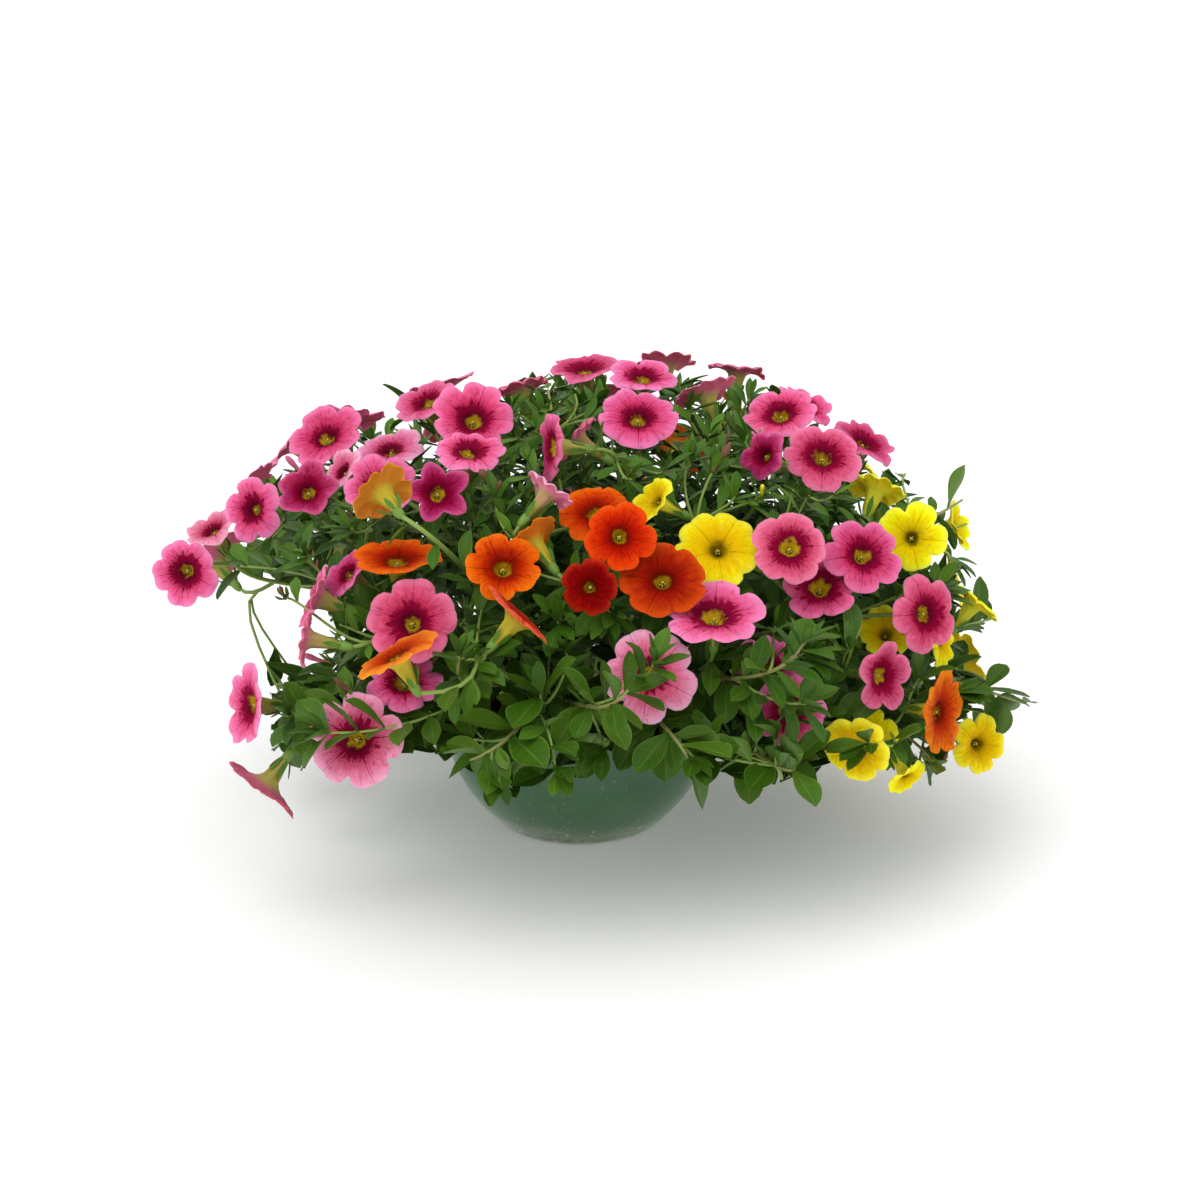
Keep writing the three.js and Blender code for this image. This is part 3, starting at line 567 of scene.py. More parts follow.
def grow_leaf(start, heading, turn, length, breadth):
    """A leaf at a place on a stem, turned round it by the golden angle until it's clear."""
    for k in range(LEAF_TRIES):
        angle = turn + radians(k * GOLDEN_TURN)
        spread = radians(LEAF_SPREADS[k % 4])
        long = length if k < LEAF_TRIES / 2 else length * 0.8
        leaf = set_leaf(start, heading, angle, spread, long, length * breadth)
        points = leaf_points(leaf)
        outer_points = points[3:]  # the first three lie close to the stem
        if all(is_clear(point, LEAF_GUARD, "leaf") for point in outer_points):
            for point in points:
                keep(point, LEAF_GUARD, "blade")
            return [leaf]
    return []


def rise_at(height):
    """How far a height is from the broad leaves low down to the narrow ones near the top."""
    return clip((height - BROAD_BELOW) / (NARROW_ABOVE - BROAD_BELOW))


def leaf_places(curve, steps, step, number):
    """Where leaves sit on one straight step of a stem, and the way the stem runs there."""
    low, high = curve_point(curve, (step - 1) / steps), curve_point(curve, step / steps)
    heading = unit(sub(high, low))
    return [(along(times(low, 0.35 + 0.3 * k), high, 0.65 - 0.3 * k), heading) for k in range(number)]


def grow_leaves(shoot):
    """The leaves of a shoot, from the tip of its main stem downwards and then on its twigs."""
    leaves = []
    places = []
    for step in range(STEM_STEPS, 1, -1):
        places += leaf_places(shoot.stem, STEM_STEPS, step, 1 if shoot.blooms else 2)
    for twig in shoot.twigs:
        places += leaf_places(twig, TWIG_STEPS, 2, 1)
    turn = draw() * 2 * pi
    for start, heading in places:
        if len(leaves) >= shoot.leaves:
            break
        rise = rise_at(start[2])
        length = (shoot.leaf_length or mix(*LEAF_LENGTH, rise)) * draw_between(0.82, 1.08)
        leaves += grow_leaf(start, heading, turn, length, mix(*LEAF_BREADTH, rise))
        turn += LEAF_TURN
    return leaves


def keep_rim():
    """Keeps stems and leaves off the pot's rim."""
    for k in range(RIM_POINTS):
        angle = 2 * pi * k / RIM_POINTS
        point = (cos(angle) * POT_RIM_RADIUS, sin(angle) * POT_RIM_RADIUS, POT_HEIGHT - POT_WALL)
        keep(point, RIM_GUARD, "rim")


def lay_out():
    """Places the shoots: their blooms first, then the roots, the stems, the twigs and the leaves."""
    shoots = front_shoots()
    for index in range(BACK_SPRAYS):
        spray = back_spray(index)
        spray.blooms = clear_blooms(spray)
        if len(spray.blooms) > 1:
            shoots.append(spray)
    shoots += [back_tip(index) for index in range(BACK_TIPS)]
    keep_rim()
    for shoot in shoots:
        shoot.root = find_root(shoot.blooms[0].centre if shoot.blooms else shoot.tip_point)
    for shoot in shoots:
        shoot.stem = main_stem(shoot)
    for shoot in shoots:
        shoot.twigs = [side_twig(shoot, bloom, (4 - k) / STEM_STEPS)
                       for k, bloom in enumerate(shoot.blooms[1:])]
    for shoot in shoots:
        shoot.leaf_list = grow_leaves(shoot)
    return shoots


# ---------------------------------------------------------------- extra foliage
# The outline of the leaves as seen from the front, across and down in grid steps.
FOLIAGE_OUTLINE = [
    (280, 530), (258, 474), (300, 466), (330, 420), (380, 418), (440, 402), (505, 388), (530, 372),
    (600, 366), (700, 372), (760, 376), (812, 408), (872, 440), (900, 470), (938, 476), (966, 500),
    (970, 545), (1000, 605), (996, 630), (950, 650), (975, 672), (1046, 703), (1000, 716), (960, 740),
    (942, 775), (880, 782), (812, 768), (795, 788), (745, 782), (718, 760), (712, 787), (690, 785),
    (665, 768), (658, 748), (622, 748), (616, 782), (600, 783), (590, 776), (572, 799), (550, 798),
    (545, 772), (522, 775), (512, 812), (488, 812), (478, 780), (456, 776), (400, 750), (330, 748),
    (300, 776), (272, 760), (266, 690), (285, 676), (315, 664), (342, 660), (350, 640), (318, 604),
    (312, 580), (262, 582), (222, 560), (228, 538), (262, 545),
]
# Loose grids of leafy tips on the front and behind those: across, down and spacing, in grid steps.
FRONT_GRID = ((240, 1040), (372, 800), 31)
FRONT_INSETS = (2, 26)  # how far inside the mound's surface the tips end
MIDDLE_GRID = ((260, 1000), (390, 760), 38)
MIDDLE_DEPTHS = (0.3, 0.7)  # how far back the tips are, as a share of the way through the mound
# Tips all round the back and deep inside: how many, the turns, and the share of the way outwards.
BACK_TUFTS = (150, (-12, 192), (0.78, 0.98))
DEEP_TUFTS = (130, (-180, 180), (0.45, 0.72))
# Extra tips near the top and behind them: across and down in grid steps, and how far inside.
TOP_TUFTS = ((480, 770, 29), (412, 476, 21), (0, 24))
CROWN_TUFTS = ((476, 800, 33), (392, 492, 20), (16, 95))
TWIG_TRIES = 8
TWIG_STARTS = (0.3, 0.42, 0.54, 0.66, 0.78)  # along a stem
SHORTEST_TWIG = 14  # shorter ones are grown only for want of a better place
TIP_GUARD = 3.5
BUD_GUARD = 3
ROSETTE_LEAVES = 8
BUD_SHARE = 0.16  # of the leafy tips
FADED_SHARE = 0.35  # of the buds
LEAF_STEP = 7.0  # from one pair of leaves to the next along a twig
TOP_LEAF_SHARE = 0.86  # the extra leaves near the top are this much shorter
EXTRA_LEAF_TRIES = 5
EXTRA_LEAF_GUARD = 1.0
EXTRA_BLADE_GUARD = 0.5
TRY_SHRINKS = 0.13  # each try for an extra leaf is this much smaller,
TRY_TURNS = 1.7  # and this much further round the twig
PAIR_TURNS = 1.6  # radians from one pair of leaves to the next
CLEAR_PLACES = (0.35, 0.7, 1.0)  # where along an extra leaf it's kept clear of others,
COVER_PLACES = (0.4, 0.7, 1.0)  # and clear of the view of a bloom
# Twigs that cross in front of blooms: the shoot, how far up its stem they start, across, down and
# inset of the tip, and the turn and tilt that the tip leans to.
CROSSING_TWIGS = [
    ("pink_24", 0.55, (322, 733, -19), (-85, 0)),
    ("pink_19", 0.8, (288, 716, -10), (-50, 20)),
    ("yellow_06", 0.62, (806, 704, -12), (70, 10)),
    ("yellow_10", 0.7, (866, 742, -10), (-60, 25)),
    ("pink_22", 0.72, (240, 566, 6), (-85, 10)),
    ("pink_25", 0.62, (654, 664, -17), (12, 50)),
    ("pink_23", 0.86, (498, 780, -14), (-12, -50)),
    ("pink_23", 0.55, (556, 774, -14), (5, -55)),
    ("yellow_08", 0.85, (696, 764, -8), (15, -40)),
]
CLOSING_TIPS = [(558, 640, 60), (560, 632, 90), (552, 650, 40)]  # across, down and inset
FADED_BLOOMS = [(285, 597, 4), (352, 694, -2), (860, 630, 8), (793, 490, 4), (632, 616, 12),
                (496, 494, 6), (575, 394, 6)]
COVER_CELL = 6  # grid steps, the size of a cell in which a bloom is or isn't seen
FACE_SAMPLES = 180  # points on a bloom's face that are looked up
HIDDEN_BLOOMS = {"pink_21"}  # leaves may hang in front of these
BARE_STEMS = {"orange_06": 0.45}  # where the leaves end on the stems that are bare higher up


def is_in_outline(x, y):
    """Whether a grid place is inside the foliage's outline, by counting the edges to its right."""
    inside = False
    for (ax, ay), (bx, by) in zip(FOLIAGE_OUTLINE, FOLIAGE_OUTLINE[1:] + FOLIAGE_OUTLINE[:1]):
        if (ay > y) != (by > y) and x < ax + (y - ay) * (bx - ax) / (by - ay):
            inside = not inside
    return inside


def leaf_form(height):
    """The usual length and width of a leaf at a height: broad low down, narrow on top."""
    rise = rise_at(height)
    length = mix(*LEAF_LENGTH, rise) * mix(1.0, TOP_LEAF_SHARE, rise) * draw_between(0.75, 1.15)
    return length, length * mix(*LEAF_BREADTH, rise) * draw_between(0.85, 1.1)


def seen_from_front(point):
    """The cell of the grid that a point is seen in, and how far away it is."""
    across, down = on_grid(point)
    return (across // COVER_CELL, down // COVER_CELL), size(sub(point, EYE))


def face_cells():
    """The cells that the open blooms are seen in from the front, and how far away they are."""
    cells = {}
    for shoot in shoots:
        for bloom in shoot.blooms:
            is_open = dot(bloom.facing, SIGHT_AHEAD) < -0.2 and shoot.name not in HIDDEN_BLOOMS
            for k in range(FACE_SAMPLES if is_open else 0):
                away = bloom.radius * 0.92 * sqrt((k + 0.5) / FACE_SAMPLES)
                flat = around(bloom.facing, radians(GOLDEN_TURN * k))
                cell, distance = seen_from_front(along(bloom.centre, flat, away))
                cells[cell] = min(cells.get(cell, inf), distance)
    return cells


def covers_bloom(point):
    """Whether something at a point would hide an open bloom from the front."""
    cell, distance = seen_from_front(point)
    return distance < cells_of_faces.get(cell, 0)


def add_leaf(leaves, start, heading, angle, spread, length, width, droop, may_cover):
    """Adds a leaf where it hides no bloom, lies on no other leaf and stays in the outline."""
    for attempt in range(EXTRA_LEAF_TRIES):
        share = 1 - TRY_SHRINKS * attempt
        turned = angle + attempt * TRY_TURNS
        leaf = set_leaf(start, heading, turned, spread, length * share, width * share, droop)
        hides = not may_cover and any(covers_bloom(on_leaf(leaf, part)) for part in COVER_PLACES)
        blade = [on_leaf(leaf, part) for part in CLEAR_PLACES]
        is_free = all(is_clear(point, EXTRA_LEAF_GUARD, "leaf") for point in blade)
        if is_free and not hides and is_in_outline(*on_grid(blade[-1])):
            for point in blade:
                keep(point, EXTRA_BLADE_GUARD, "blade")
            leaves.append(leaf)
            return


def add_leaves_along(leaves, curve, first, last, may_cover=False):
    """Pairs of leaves along part of a curve."""
    length = size(sub(curve[3], curve[0])) * (last - first)
    pairs = max(int(length / LEAF_STEP), 1)
    angle = draw() * 2 * pi
    for k in range(pairs):
        start, heading = curve_heading(curve, mix(first, last, (k + 0.5) / pairs), 0.02)
        for side in (0, pi):
            long, wide = leaf_form(start[2])
            add_leaf(leaves, start, heading, angle + side, draw_between(0.7, 1.15), long, wide,
                     draw_between(0.02, 0.22), may_cover)
        angle += PAIR_TURNS


def add_rosette(leaves, curve, may_cover=False):
    """The tuft of young leaves at a tip."""
    heading = unit(sub(curve[3], curve_point(curve, 0.9)))
    angle = draw() * 2 * pi
    number = ROSETTE_LEAVES + round(4 * rise_at(curve[3][2]))
    for k in range(number):
        long, wide = leaf_form(curve[3][2])
        young = mix(1.0, 0.6, k / number)
        start = along(curve[3], heading, -3.0 + 0.35 * k)
        add_leaf(leaves, start, heading, angle, mix(1.05, 0.35, k / number), long * young,
                 wide * young * 0.9, draw_between(-0.05, 0.12), may_cover)
        angle += radians(GOLDEN_TURN)


def twig_cost(tip, curve, t):
    """How ill a place on a stem suits a twig to a tip: it's far off, too close, or above the tip."""
    point = curve_point(curve, t)
    away = size(sub(tip, point))
    return away + (40 if away < SHORTEST_TWIG else 0) + max(point[2] - tip[2], 0) * 0.8


def best_stem(tip):
    """The shoot, its stem or twig, and the place along that from which to grow a twig to a tip."""
    places = [(shoot, curve, t) for shoot in shoots for curve in (shoot.stem, *shoot.twigs)
              for t in TWIG_STARTS]
    return min(places, key=lambda place: twig_cost(tip, *place[1:]))


def bend_twig(shoot, stem, t, tip, lean, rise, approach):
    """A thin twig from a place on a stem to a tip that leans in a given direction."""
    start, heading = curve_heading(stem, t, 0.03)
    length = size(sub(tip, start))
    curve = (start, along(start, heading, length * rise), along(tip, lean, -length * approach), tip)
    curve = bend_clear(curve, TWIG_STEPS, shoot.name, TWIG_TRIES)
    shoot.extra_twigs.append(curve)
    return curve


def add_twig(tip, faded=False):
    """A leafy twig from the best stem to a tip, ending in a rosette or a faded bloom."""
    outwards = unit(sub(tip, (0, 0, MOUND_MIDDLE_HEIGHT)))
    lean = unit(add(outwards, stray()))
    shoot, stem, t = best_stem(tip)
    curve = bend_twig(shoot, stem, t, tip, lean, 0.3, 0.32)
    if faded or draw() < BUD_SHARE:
        upwards = (draw_between(-0.4, 0.4), draw_between(-0.4, 0.4), 0.3)
        add_bud(shoot, tip, unit(add(lean, upwards)), faded)
    add_leaves_along(shoot.extra_leaves, curve, 0.25, 0.92)
    if not faded:
        add_rosette(shoot.extra_leaves, curve)


def add_crossing_twig(shoot, part, tip, lean):
    """A leafy twig from a given place on a stem."""
    curve = bend_twig(shoot, shoot.stem, part, tip, lean, 0.25, 0.45)
    add_leaves_along(shoot.extra_leaves, curve, 0.3, 0.92, may_cover=True)
    add_rosette(shoot.extra_leaves, curve, may_cover=True)


def add_bud(shoot, tip, heading, faded):
    """A closed bud, or now and then a faded bloom, that stands out of a leafy tip."""
    length = draw_between(8, 14)
    foot = along(tip, heading, -1)
    end = along(foot, heading, length)
    if is_clear(end, BUD_GUARD) and not covers_bloom(end):
        tint = "faded" if faded or draw() < FADED_SHARE else None
        shoot.buds.append(Thing(foot=foot, heading=heading, length=length, tint=tint))


def top_tips(columns, rows, insets):
    """More leafy tips near the top of the mound, where they stand close together."""
    return [on_mound(across + draw_between(-8, 8), down + draw_between(-8, 8), draw_between(*insets))
            for across in range(*columns) for down in range(*rows)]


def grid_places(columns, rows, spacing):
    """Places in a loose grid whose odd rows are half a step over."""
    for row, down in enumerate(range(*rows, spacing)):
        for across in range(columns[0] + (row % 2) * spacing // 2, columns[1], spacing):
            yield across + draw_between(-9, 9), down + draw_between(-9, 9)


def front_tips():
    """Leafy tips over the front of the mound, in a loose grid."""
    tips = []
    for place in grid_places(*FRONT_GRID):
        inset = draw_between(*FRONT_INSETS)
        if is_in_outline(*place):
            tips.append(on_mound(*place, inset))
    return tips


def middle_tips():
    """Leafy tips behind the front ones, which close the view through the mound."""
    tips = []
    for place in grid_places(*MIDDLE_GRID):
        front = on_mound(*place, 0)
        tip = on_sight_line(*place, mix(front[1], MOUND_HALF_DEPTH, draw_between(*MIDDLE_DEPTHS)))
        if is_in_outline(*place) and mound_reach(tip) < 0.9:
            tips.append(tip)
    return tips


def round_tips(number, turns, shares):
    """Leafy tips spread over a range of turns, a share of the way out to the mound's surface."""
    return [out_to(back_heading(index, number, *turns)[0], draw_between(*shares))
            for index in range(number)]


def grow_tips(tips):
    for tip in tips:
        if is_clear(tip, TIP_GUARD) and is_in_outline(*on_grid(tip)) and not covers_bloom(tip):
            add_twig(tip)


def grow_foliage():
    """Grows the extra leaves, twigs, buds and faded blooms on the shoots."""
    for shoot in shoots:
        shoot.extra_leaves = []
        shoot.extra_twigs = []
        shoot.buds = []
    for shoot in shoots:
        add_leaves_along(shoot.extra_leaves, shoot.stem, 0.3, BARE_STEMS.get(shoot.name, 0.95))
        if not shoot.blooms:
            add_rosette(shoot.extra_leaves, shoot.stem)
        for twig in shoot.twigs:
            add_leaves_along(shoot.extra_leaves, twig, 0.2, 0.9)
    by_name = {shoot.name: shoot for shoot in shoots}
    for name, part, tip, lean in CROSSING_TWIGS:
        add_crossing_twig(by_name[name], part, on_mound(*tip), facing(*lean))
    grow_tips(front_tips() + middle_tips() + round_tips(*BACK_TUFTS) + round_tips(*DEEP_TUFTS)
              + top_tips(*TOP_TUFTS))
    for place in CLOSING_TIPS:
        add_twig(on_mound(*place))
    for place in FADED_BLOOMS:
        add_twig(on_mound(*place), faded=True)
    grow_tips(top_tips(*CROWN_TUFTS))


# ---------------------------------------------------------------- colours
def srgb(red, green, blue):
    """A colour in 0 to 255 as a linear one."""
    return tuple(((c / 255 + 0.055) / 1.055) ** 2.4 if c > 10 else c / 255 / 12.92
                 for c in (red, green, blue))


TINTS = {
    "pink": srgb(218, 94, 142),
    "rose": srgb(196, 80, 120),
    "pale": srgb(222, 132, 164),
    "deep": srgb(156, 40, 94),
    "dusky": srgb(186, 76, 112),
    "rosy": srgb(142, 10, 36),
    "orange": srgb(222, 88, 8),
    "apricot": srgb(202, 104, 22),
    "copper": srgb(188, 86, 10),
    "amber": srgb(168, 112, 34),
    "salmon": srgb(200, 74, 46),
    "scarlet": srgb(206, 50, 4),
    "flame": srgb(176, 52, 8),
    "red": srgb(122, 1, 4),
    "yellow": srgb(234, 220, 10),
    "faded": srgb(112, 70, 54),
}
# Painted light and shade: sunlit, middle and shaded copies of the leaf green, picked by where a leaf sits
# in the mound.
LEAF_SUNLIT = np.array(srgb(82, 120, 24))
LEAF_MIDDLE = np.array(srgb(52, 93, 10))
LEAF_SHADED = np.array(srgb(26, 62, 10))
STEM_YOUNG = srgb(118, 146, 66)
STEM_WOODY = srgb(126, 122, 76)
CALYX_TINT = srgb(84, 126, 44)
HEART_TINT = srgb(186, 176, 70)
# The pot's and the soil's materials don't read these.
POT_TINT = (0.05, 0.1, 0.06)
SOIL_TINT = (0.03, 0.02, 0.015)
CRUMB_TINT = (0.05, 0.035, 0.02)


# ---------------------------------------------------------------- mesh building
PETAL_SLOT = 0
GREEN_SLOT = 1
SHARP_ANGLE = radians(62)


class Build:
    """Collects lofted forms with their colours, and turns them into one piece."""

    def __init__(self, name, materials):
        self.name = name
        self.materials = materials
        self.points = []
        self.quads = []
        self.caps = []
        self.quad_materials = []
        self.cap_materials = []
        self.layers = {"part": [], "lobe": [], "under": [], "eye": []}
        self.tints = []
        self.count = 0

    def loft(self, rings, material, tint, part=0.5, lobe=1.0, under=0.0, eye=1.0):
        """A closed form through rings of equally many points, in millimetres."""
        rows, columns, _ = rings.shape
        index = np.arange(rows * columns).reshape(rows, columns) + self.count
        after = np.roll(index, -1, axis=1)
        quads = np.stack([index[:-1], after[:-1], after[1:], index[1:]], axis=-1).reshape(-1, 4)
        self.points.append(rings.reshape(-1, 3) * MM)
        self.quads.append(quads)
        self.quad_materials.append(np.full(len(quads), material))
        self.caps += [index[0][::-1].tolist(), index[-1].tolist()]
        self.cap_materials += [material, material]
        for key, value in (("part", part), ("lobe", lobe), ("under", under), ("eye", eye)):
            self.layers[key].append(np.broadcast_to(value, (rows, columns)).ravel())
        self.tints.append(np.broadcast_to((*tint, 1.0), (rows * columns, 4)))
        self.count += rows * columns

    def finish(self, node):
        """Makes the piece, which stands for a node of the frame."""
        mesh = bpy.data.meshes.new(self.name)
        faces = np.concatenate(self.quads).tolist() + self.caps
        mesh.from_pydata(np.concatenate(self.points).tolist(), [], faces)
        for key, values in self.layers.items():
            layer = mesh.attributes.new(key, "FLOAT", "POINT")
            layer.data.foreach_set("value", np.concatenate(values).astype(np.float32))
        tint = mesh.attributes.new("tint", "FLOAT_COLOR", "POINT")
        tint.data.foreach_set("color", np.concatenate(self.tints).astype(np.float32).ravel())
        for material in self.materials:
            mesh.materials.append(material)
        numbers = np.concatenate([*self.quad_materials, self.cap_materials]).astype(np.int32)
        mesh.polygons.foreach_set("material_index", numbers)
        mesh.polygons.foreach_set("use_smooth", np.ones(len(faces), dtype=bool))
        mesh.set_sharp_from_angle(angle=SHARP_ANGLE)
        mesh.update()
        piece = bpy.data.objects.new(self.name, mesh)
        bpy.context.scene.collection.objects.link(piece)
        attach(piece, "root")
        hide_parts(node)


def tube_rings(points, radii, sides):
    """Round rings that follow a line of points without twisting."""
    points = np.asarray(points, dtype=float)
    angles = np.arange(sides) * 2 * pi / sides
    side = np.array([1.0, 0.0, 0.0])
    rings = []
    for k, point in enumerate(points):
        heading = points[min(k + 1, len(points) - 1)] - points[max(k - 1, 0)]
        heading /= max(np.linalg.norm(heading), 1e-9)
        side = side - heading * side.dot(heading)
        side /= np.linalg.norm(side)
        other = np.cross(heading, side)
        flat = np.outer(np.cos(angles), side) + np.outer(np.sin(angles), other)
        rings.append(point + radii[k] * flat)
    return np.array(rings)


# ---------------------------------------------------------------- leaves
LEAF_MESH = (10, 3)  # rings along a blade, and columns of points on each side of its rib
BROAD_MESH = (8, 2)
NARROW_MESH = (6, 1)
BROAD_FROM = 5.5  # the width of an extra leaf that counts as broad
EDGE_THICKNESS = 0.02  # of half a blade at its edge,
RIB_THICKNESS = 0.16  # and what it gains towards its rib
LEAF_FOLD = 0.34  # how far a blade's edges rise, of half its width


def leaf_width_at(t, fullness):
    """Half the width of a blade along its length, as a share of the widest half."""
    stalk = 0.1 + 0.06 * t
    blade = np.sin(np.pi * np.clip((t - 0.06) / 0.94, 0, 1) ** (1 + fullness)) ** (0.85 - 0.7 * fullness)
    return np.maximum(stalk * (1 - t) ** 0.3, blade)


def leaf_rings(leaf, rows, half_columns):
    """Rings round a blade, along its top and back underneath, and what its material reads."""
    t = -0.02 + 1.02 * np.linspace(0, 1, rows) ** 0.85
    across = np.linspace(-1, 1, 2 * half_columns + 1)
    s = np.concatenate([across, across[-2:0:-1]])
    under = np.concatenate([np.zeros(len(across)), np.ones(len(across) - 2)])
    half = leaf_width_at(np.clip(t, 0, 1), leaf.fullness) * leaf.width / 2
    half[-1] = 0.05 * leaf.width
    thick = RIB_THICKNESS * (1 - np.abs(s)) + EDGE_THICKNESS
    fold = LEAF_FOLD * np.abs(s) ** 1.3
    lift = half[:, None] * fold[None, :] + np.where(under > 0.5, -thick, thick)[None, :]
    droop = -leaf.length * leaf.droop * t * t
    wave = 0.5 * leaf.width * leaf.wave * np.sin(t * 7 + leaf.phase)[:, None] * (s * np.abs(s))[None, :]
    heading, normal, side = (np.array(v) for v in (leaf.heading, leaf.normal, leaf.side))
    middle = np.array(leaf.start) + np.outer(leaf.length * t, heading) + np.outer(droop, normal)
    rings = (middle[:, None, :] + (half[:, None] * s[None, :])[..., None] * side
             + (lift + wave)[..., None] * normal)
    return rings, t[:, None], np.abs(s)[None, :], under[None, :]


def leaf_tint(leaf):
    """A leaf's tint with painted light and shade: lighter and more often sunlit near the mound's surface,
    lighter higher up (partly the fresher green of young leaves, partly painted light), and darker deep
    inside, where shade falls.
    """
    depth = clip(mound_reach(on_leaf(leaf, 0.6)))
    base = mix(LEAF_SHADED, LEAF_MIDDLE, depth)
    light = mix(0.84, 1.16, rise_at(leaf.start[2])) * draw_between(0.85, 1.12)
    return tuple(mix(base, LEAF_SUNLIT, draw() ** 2 * depth) * light)


def add_blade(build, leaf, rows, half_columns):
    leaf.wave = draw_between(0.03, 0.14)
    leaf.phase = draw() * 6
    leaf.fullness = min(max((leaf.width / leaf.length - 0.25) * 1.6, 0.1), 0.45)
    rings, *shares = leaf_rings(leaf, rows, half_columns)
    build.loft(rings, GREEN_SLOT, leaf_tint(leaf), *shares)


def add_sepal(build, start, ahead, outwards, splay, length, width, rows):
    """A narrow lobe of a calyx that splays away from the tube."""
    heading = unit(along(ahead, outwards, splay))
    normal = unit(cross(heading, cross(outwards, heading)))
    sepal = Thing(start=start, heading=heading, normal=normal, side=cross(heading, normal), length=length,
                  width=width, droop=-0.08, wave=0.0, phase=0.0, fullness=0.1)
    rings, *shares = leaf_rings(sepal, rows, 1)
    build.loft(rings, GREEN_SLOT, CALYX_TINT, *shares)


# ---------------------------------------------------------------- blooms
BLOOM_AROUND = 50
# Down the face and out again along the back: share of the radius, and height in millimetres.
FACE_STATIONS = [(0.025, -5.4), (0.07, -5.2), (0.115, -4.5), (0.155, -3.5), (0.19, -2.7), (0.25, -2.0),
                 (0.34, -1.3), (0.45, -0.7), (0.58, -0.25), (0.71, 0.0), (0.83, 0.1), (0.93, -0.05),
                 (1.0, -0.35)]
BACK_STATIONS = [(0.985, -0.6), (0.9, -0.55), (0.72, -0.6), (0.54, -1.15), (0.4, -2.0), (0.3, -3.2)]
# Down the tube: radius and height in millimetres.
TUBE_STATIONS = [(3.2, -5.2), (2.8, -7.6), (2.3, -10.4), (1.75, -13.3), (1.3, -15.7), (1.05, -17.2)]
# Along a bud: share of the length, and radius in millimetres on a bud of full length.
BUD_STATIONS = [(0.0, 0.55), (0.06, 1.15), (0.2, 1.3), (0.34, 1.0), (0.55, 0.95), (0.76, 1.35),
                (0.9, 1.15), (0.98, 0.6), (1.0, 0.2)]
FREE_FROM = 0.3  # the share of the radius from which the lobes part and bend
PILLOW = 0.5  # how far a lobe bulges between its middle line and its seams
SEAM_DEPTH = 0.5
CREASE_DEPTH = 0.34  # along a lobe's middle line
FULL_TUBE_RADIUS = 13  # blooms of a smaller radius have thinner tubes
FULL_BUD_LENGTH = 14
# By tint: how deep the notches are, how blunt the lobes are, and how large the eye is.
USUAL_FORM = (1.0, 4.0, 1.0)
FORMS = {"deep": (1.6, 1.35, 1.0), "dusky": (1.1, 2.6, 1.04), "rose": (1.0, 4.0, 1.1),
         "pale": (1.0, 4.0, 0.86)}


def bloom_style(tint):
    """How one bloom differs from the next."""
    depth, roundness, eye = FORMS.get(tint, USUAL_FORM)
    return Thing(
        notch=draw_between(0.17, 0.28) * depth,
        roundness=roundness * draw_between(0.88, 1.12),
        lifts=[draw_between(-2.5, 1.8) for _ in range(5)],
        growth=[draw_between(-0.09, 0.04) for _ in range(5)],
        skew=[draw_between(-0.9, 0.9) for _ in range(5)],
        ruffle=draw_between(0.3, 0.9),
        phase=draw() * 6,
        flare=draw_between(-0.9, 1.6),
        eye=draw_between(0.9, 1.2) * eye,
    )


def bloom_rings(bloom, style):
    """Rings of one corolla, from deep in the throat over the lobes to the foot of the tube."""
    u, v = (np.array(w) for w in square_to(bloom.facing))
    ahead = np.array(bloom.facing)
    centre = np.array(bloom.centre)
    angles = np.arange(BLOOM_AROUND) * 2 * pi / BLOOM_AROUND
    lobe = (angles / LOBE).astype(int) % 5
    across = (angles % LOBE) / LOBE * 2 - 1
    s = np.abs(across)  # 0 on a lobe's middle line, 1 at its seams
    s[np.isclose(angles % LOBE, 0) | np.isclose(angles % LOBE, LOBE)] = 1
    bell = (1 - s ** 2) * (1 + np.array(style.skew)[lobe] * across)
    growth = np.array(style.growth)[lobe] * (1 - s ** 2)
    outline = 1 - style.notch * s ** style.roundness - 0.025 * np.exp(-(s / 0.16) ** 2) + growth
    lift = np.array(style.lifts)[lobe] * bell
    ripple = style.ruffle * np.sin(angles * 10 + style.phase) * bell
    pillow = PILLOW * np.sin(pi * s)
    seam = np.where(s > 0.99, SEAM_DEPTH, 0.0)
    flat = np.outer(np.cos(angles + bloom.spin), u) + np.outer(np.sin(angles + bloom.spin), v)
    rings = []
    stations = FACE_STATIONS + BACK_STATIONS
    for part, height in stations:
        radius = bloom.radius * part * (1 + (outline - 1) * clip((part - FREE_FROM) / 0.6))
        outer = max((part - FREE_FROM) / (1 - FREE_FROM), 0)
        bend = (lift * outer ** 2 + ripple * outer ** 3 - style.flare * outer ** 2.5
                + (pillow - seam) * outer ** 1.2)
        crease = -CREASE_DEPTH * np.exp(-(s / 0.11) ** 2) * sin(pi * min(max(part - 0.2, 0) / 0.8, 1))
        level = height + bend + crease
        rings.append(centre + radius[:, None] * flat + level[:, None] * ahead)
    thinner = min(1, bloom.radius / FULL_TUBE_RADIUS)
    for radius, height in TUBE_STATIONS:
        rib = radius * thinner * (1 + 0.07 * np.cos(angles * 5))
        rings.append(centre + rib[:, None] * flat + height * ahead)
    parts = [part for part, _ in stations]
    parts += [radius / bloom.radius for radius, _ in TUBE_STATIONS]
    under = np.arange(len(rings)) >= len(FACE_STATIONS)
    return np.array(rings), np.array(parts)[:, None], s[None, :], under[:, None]


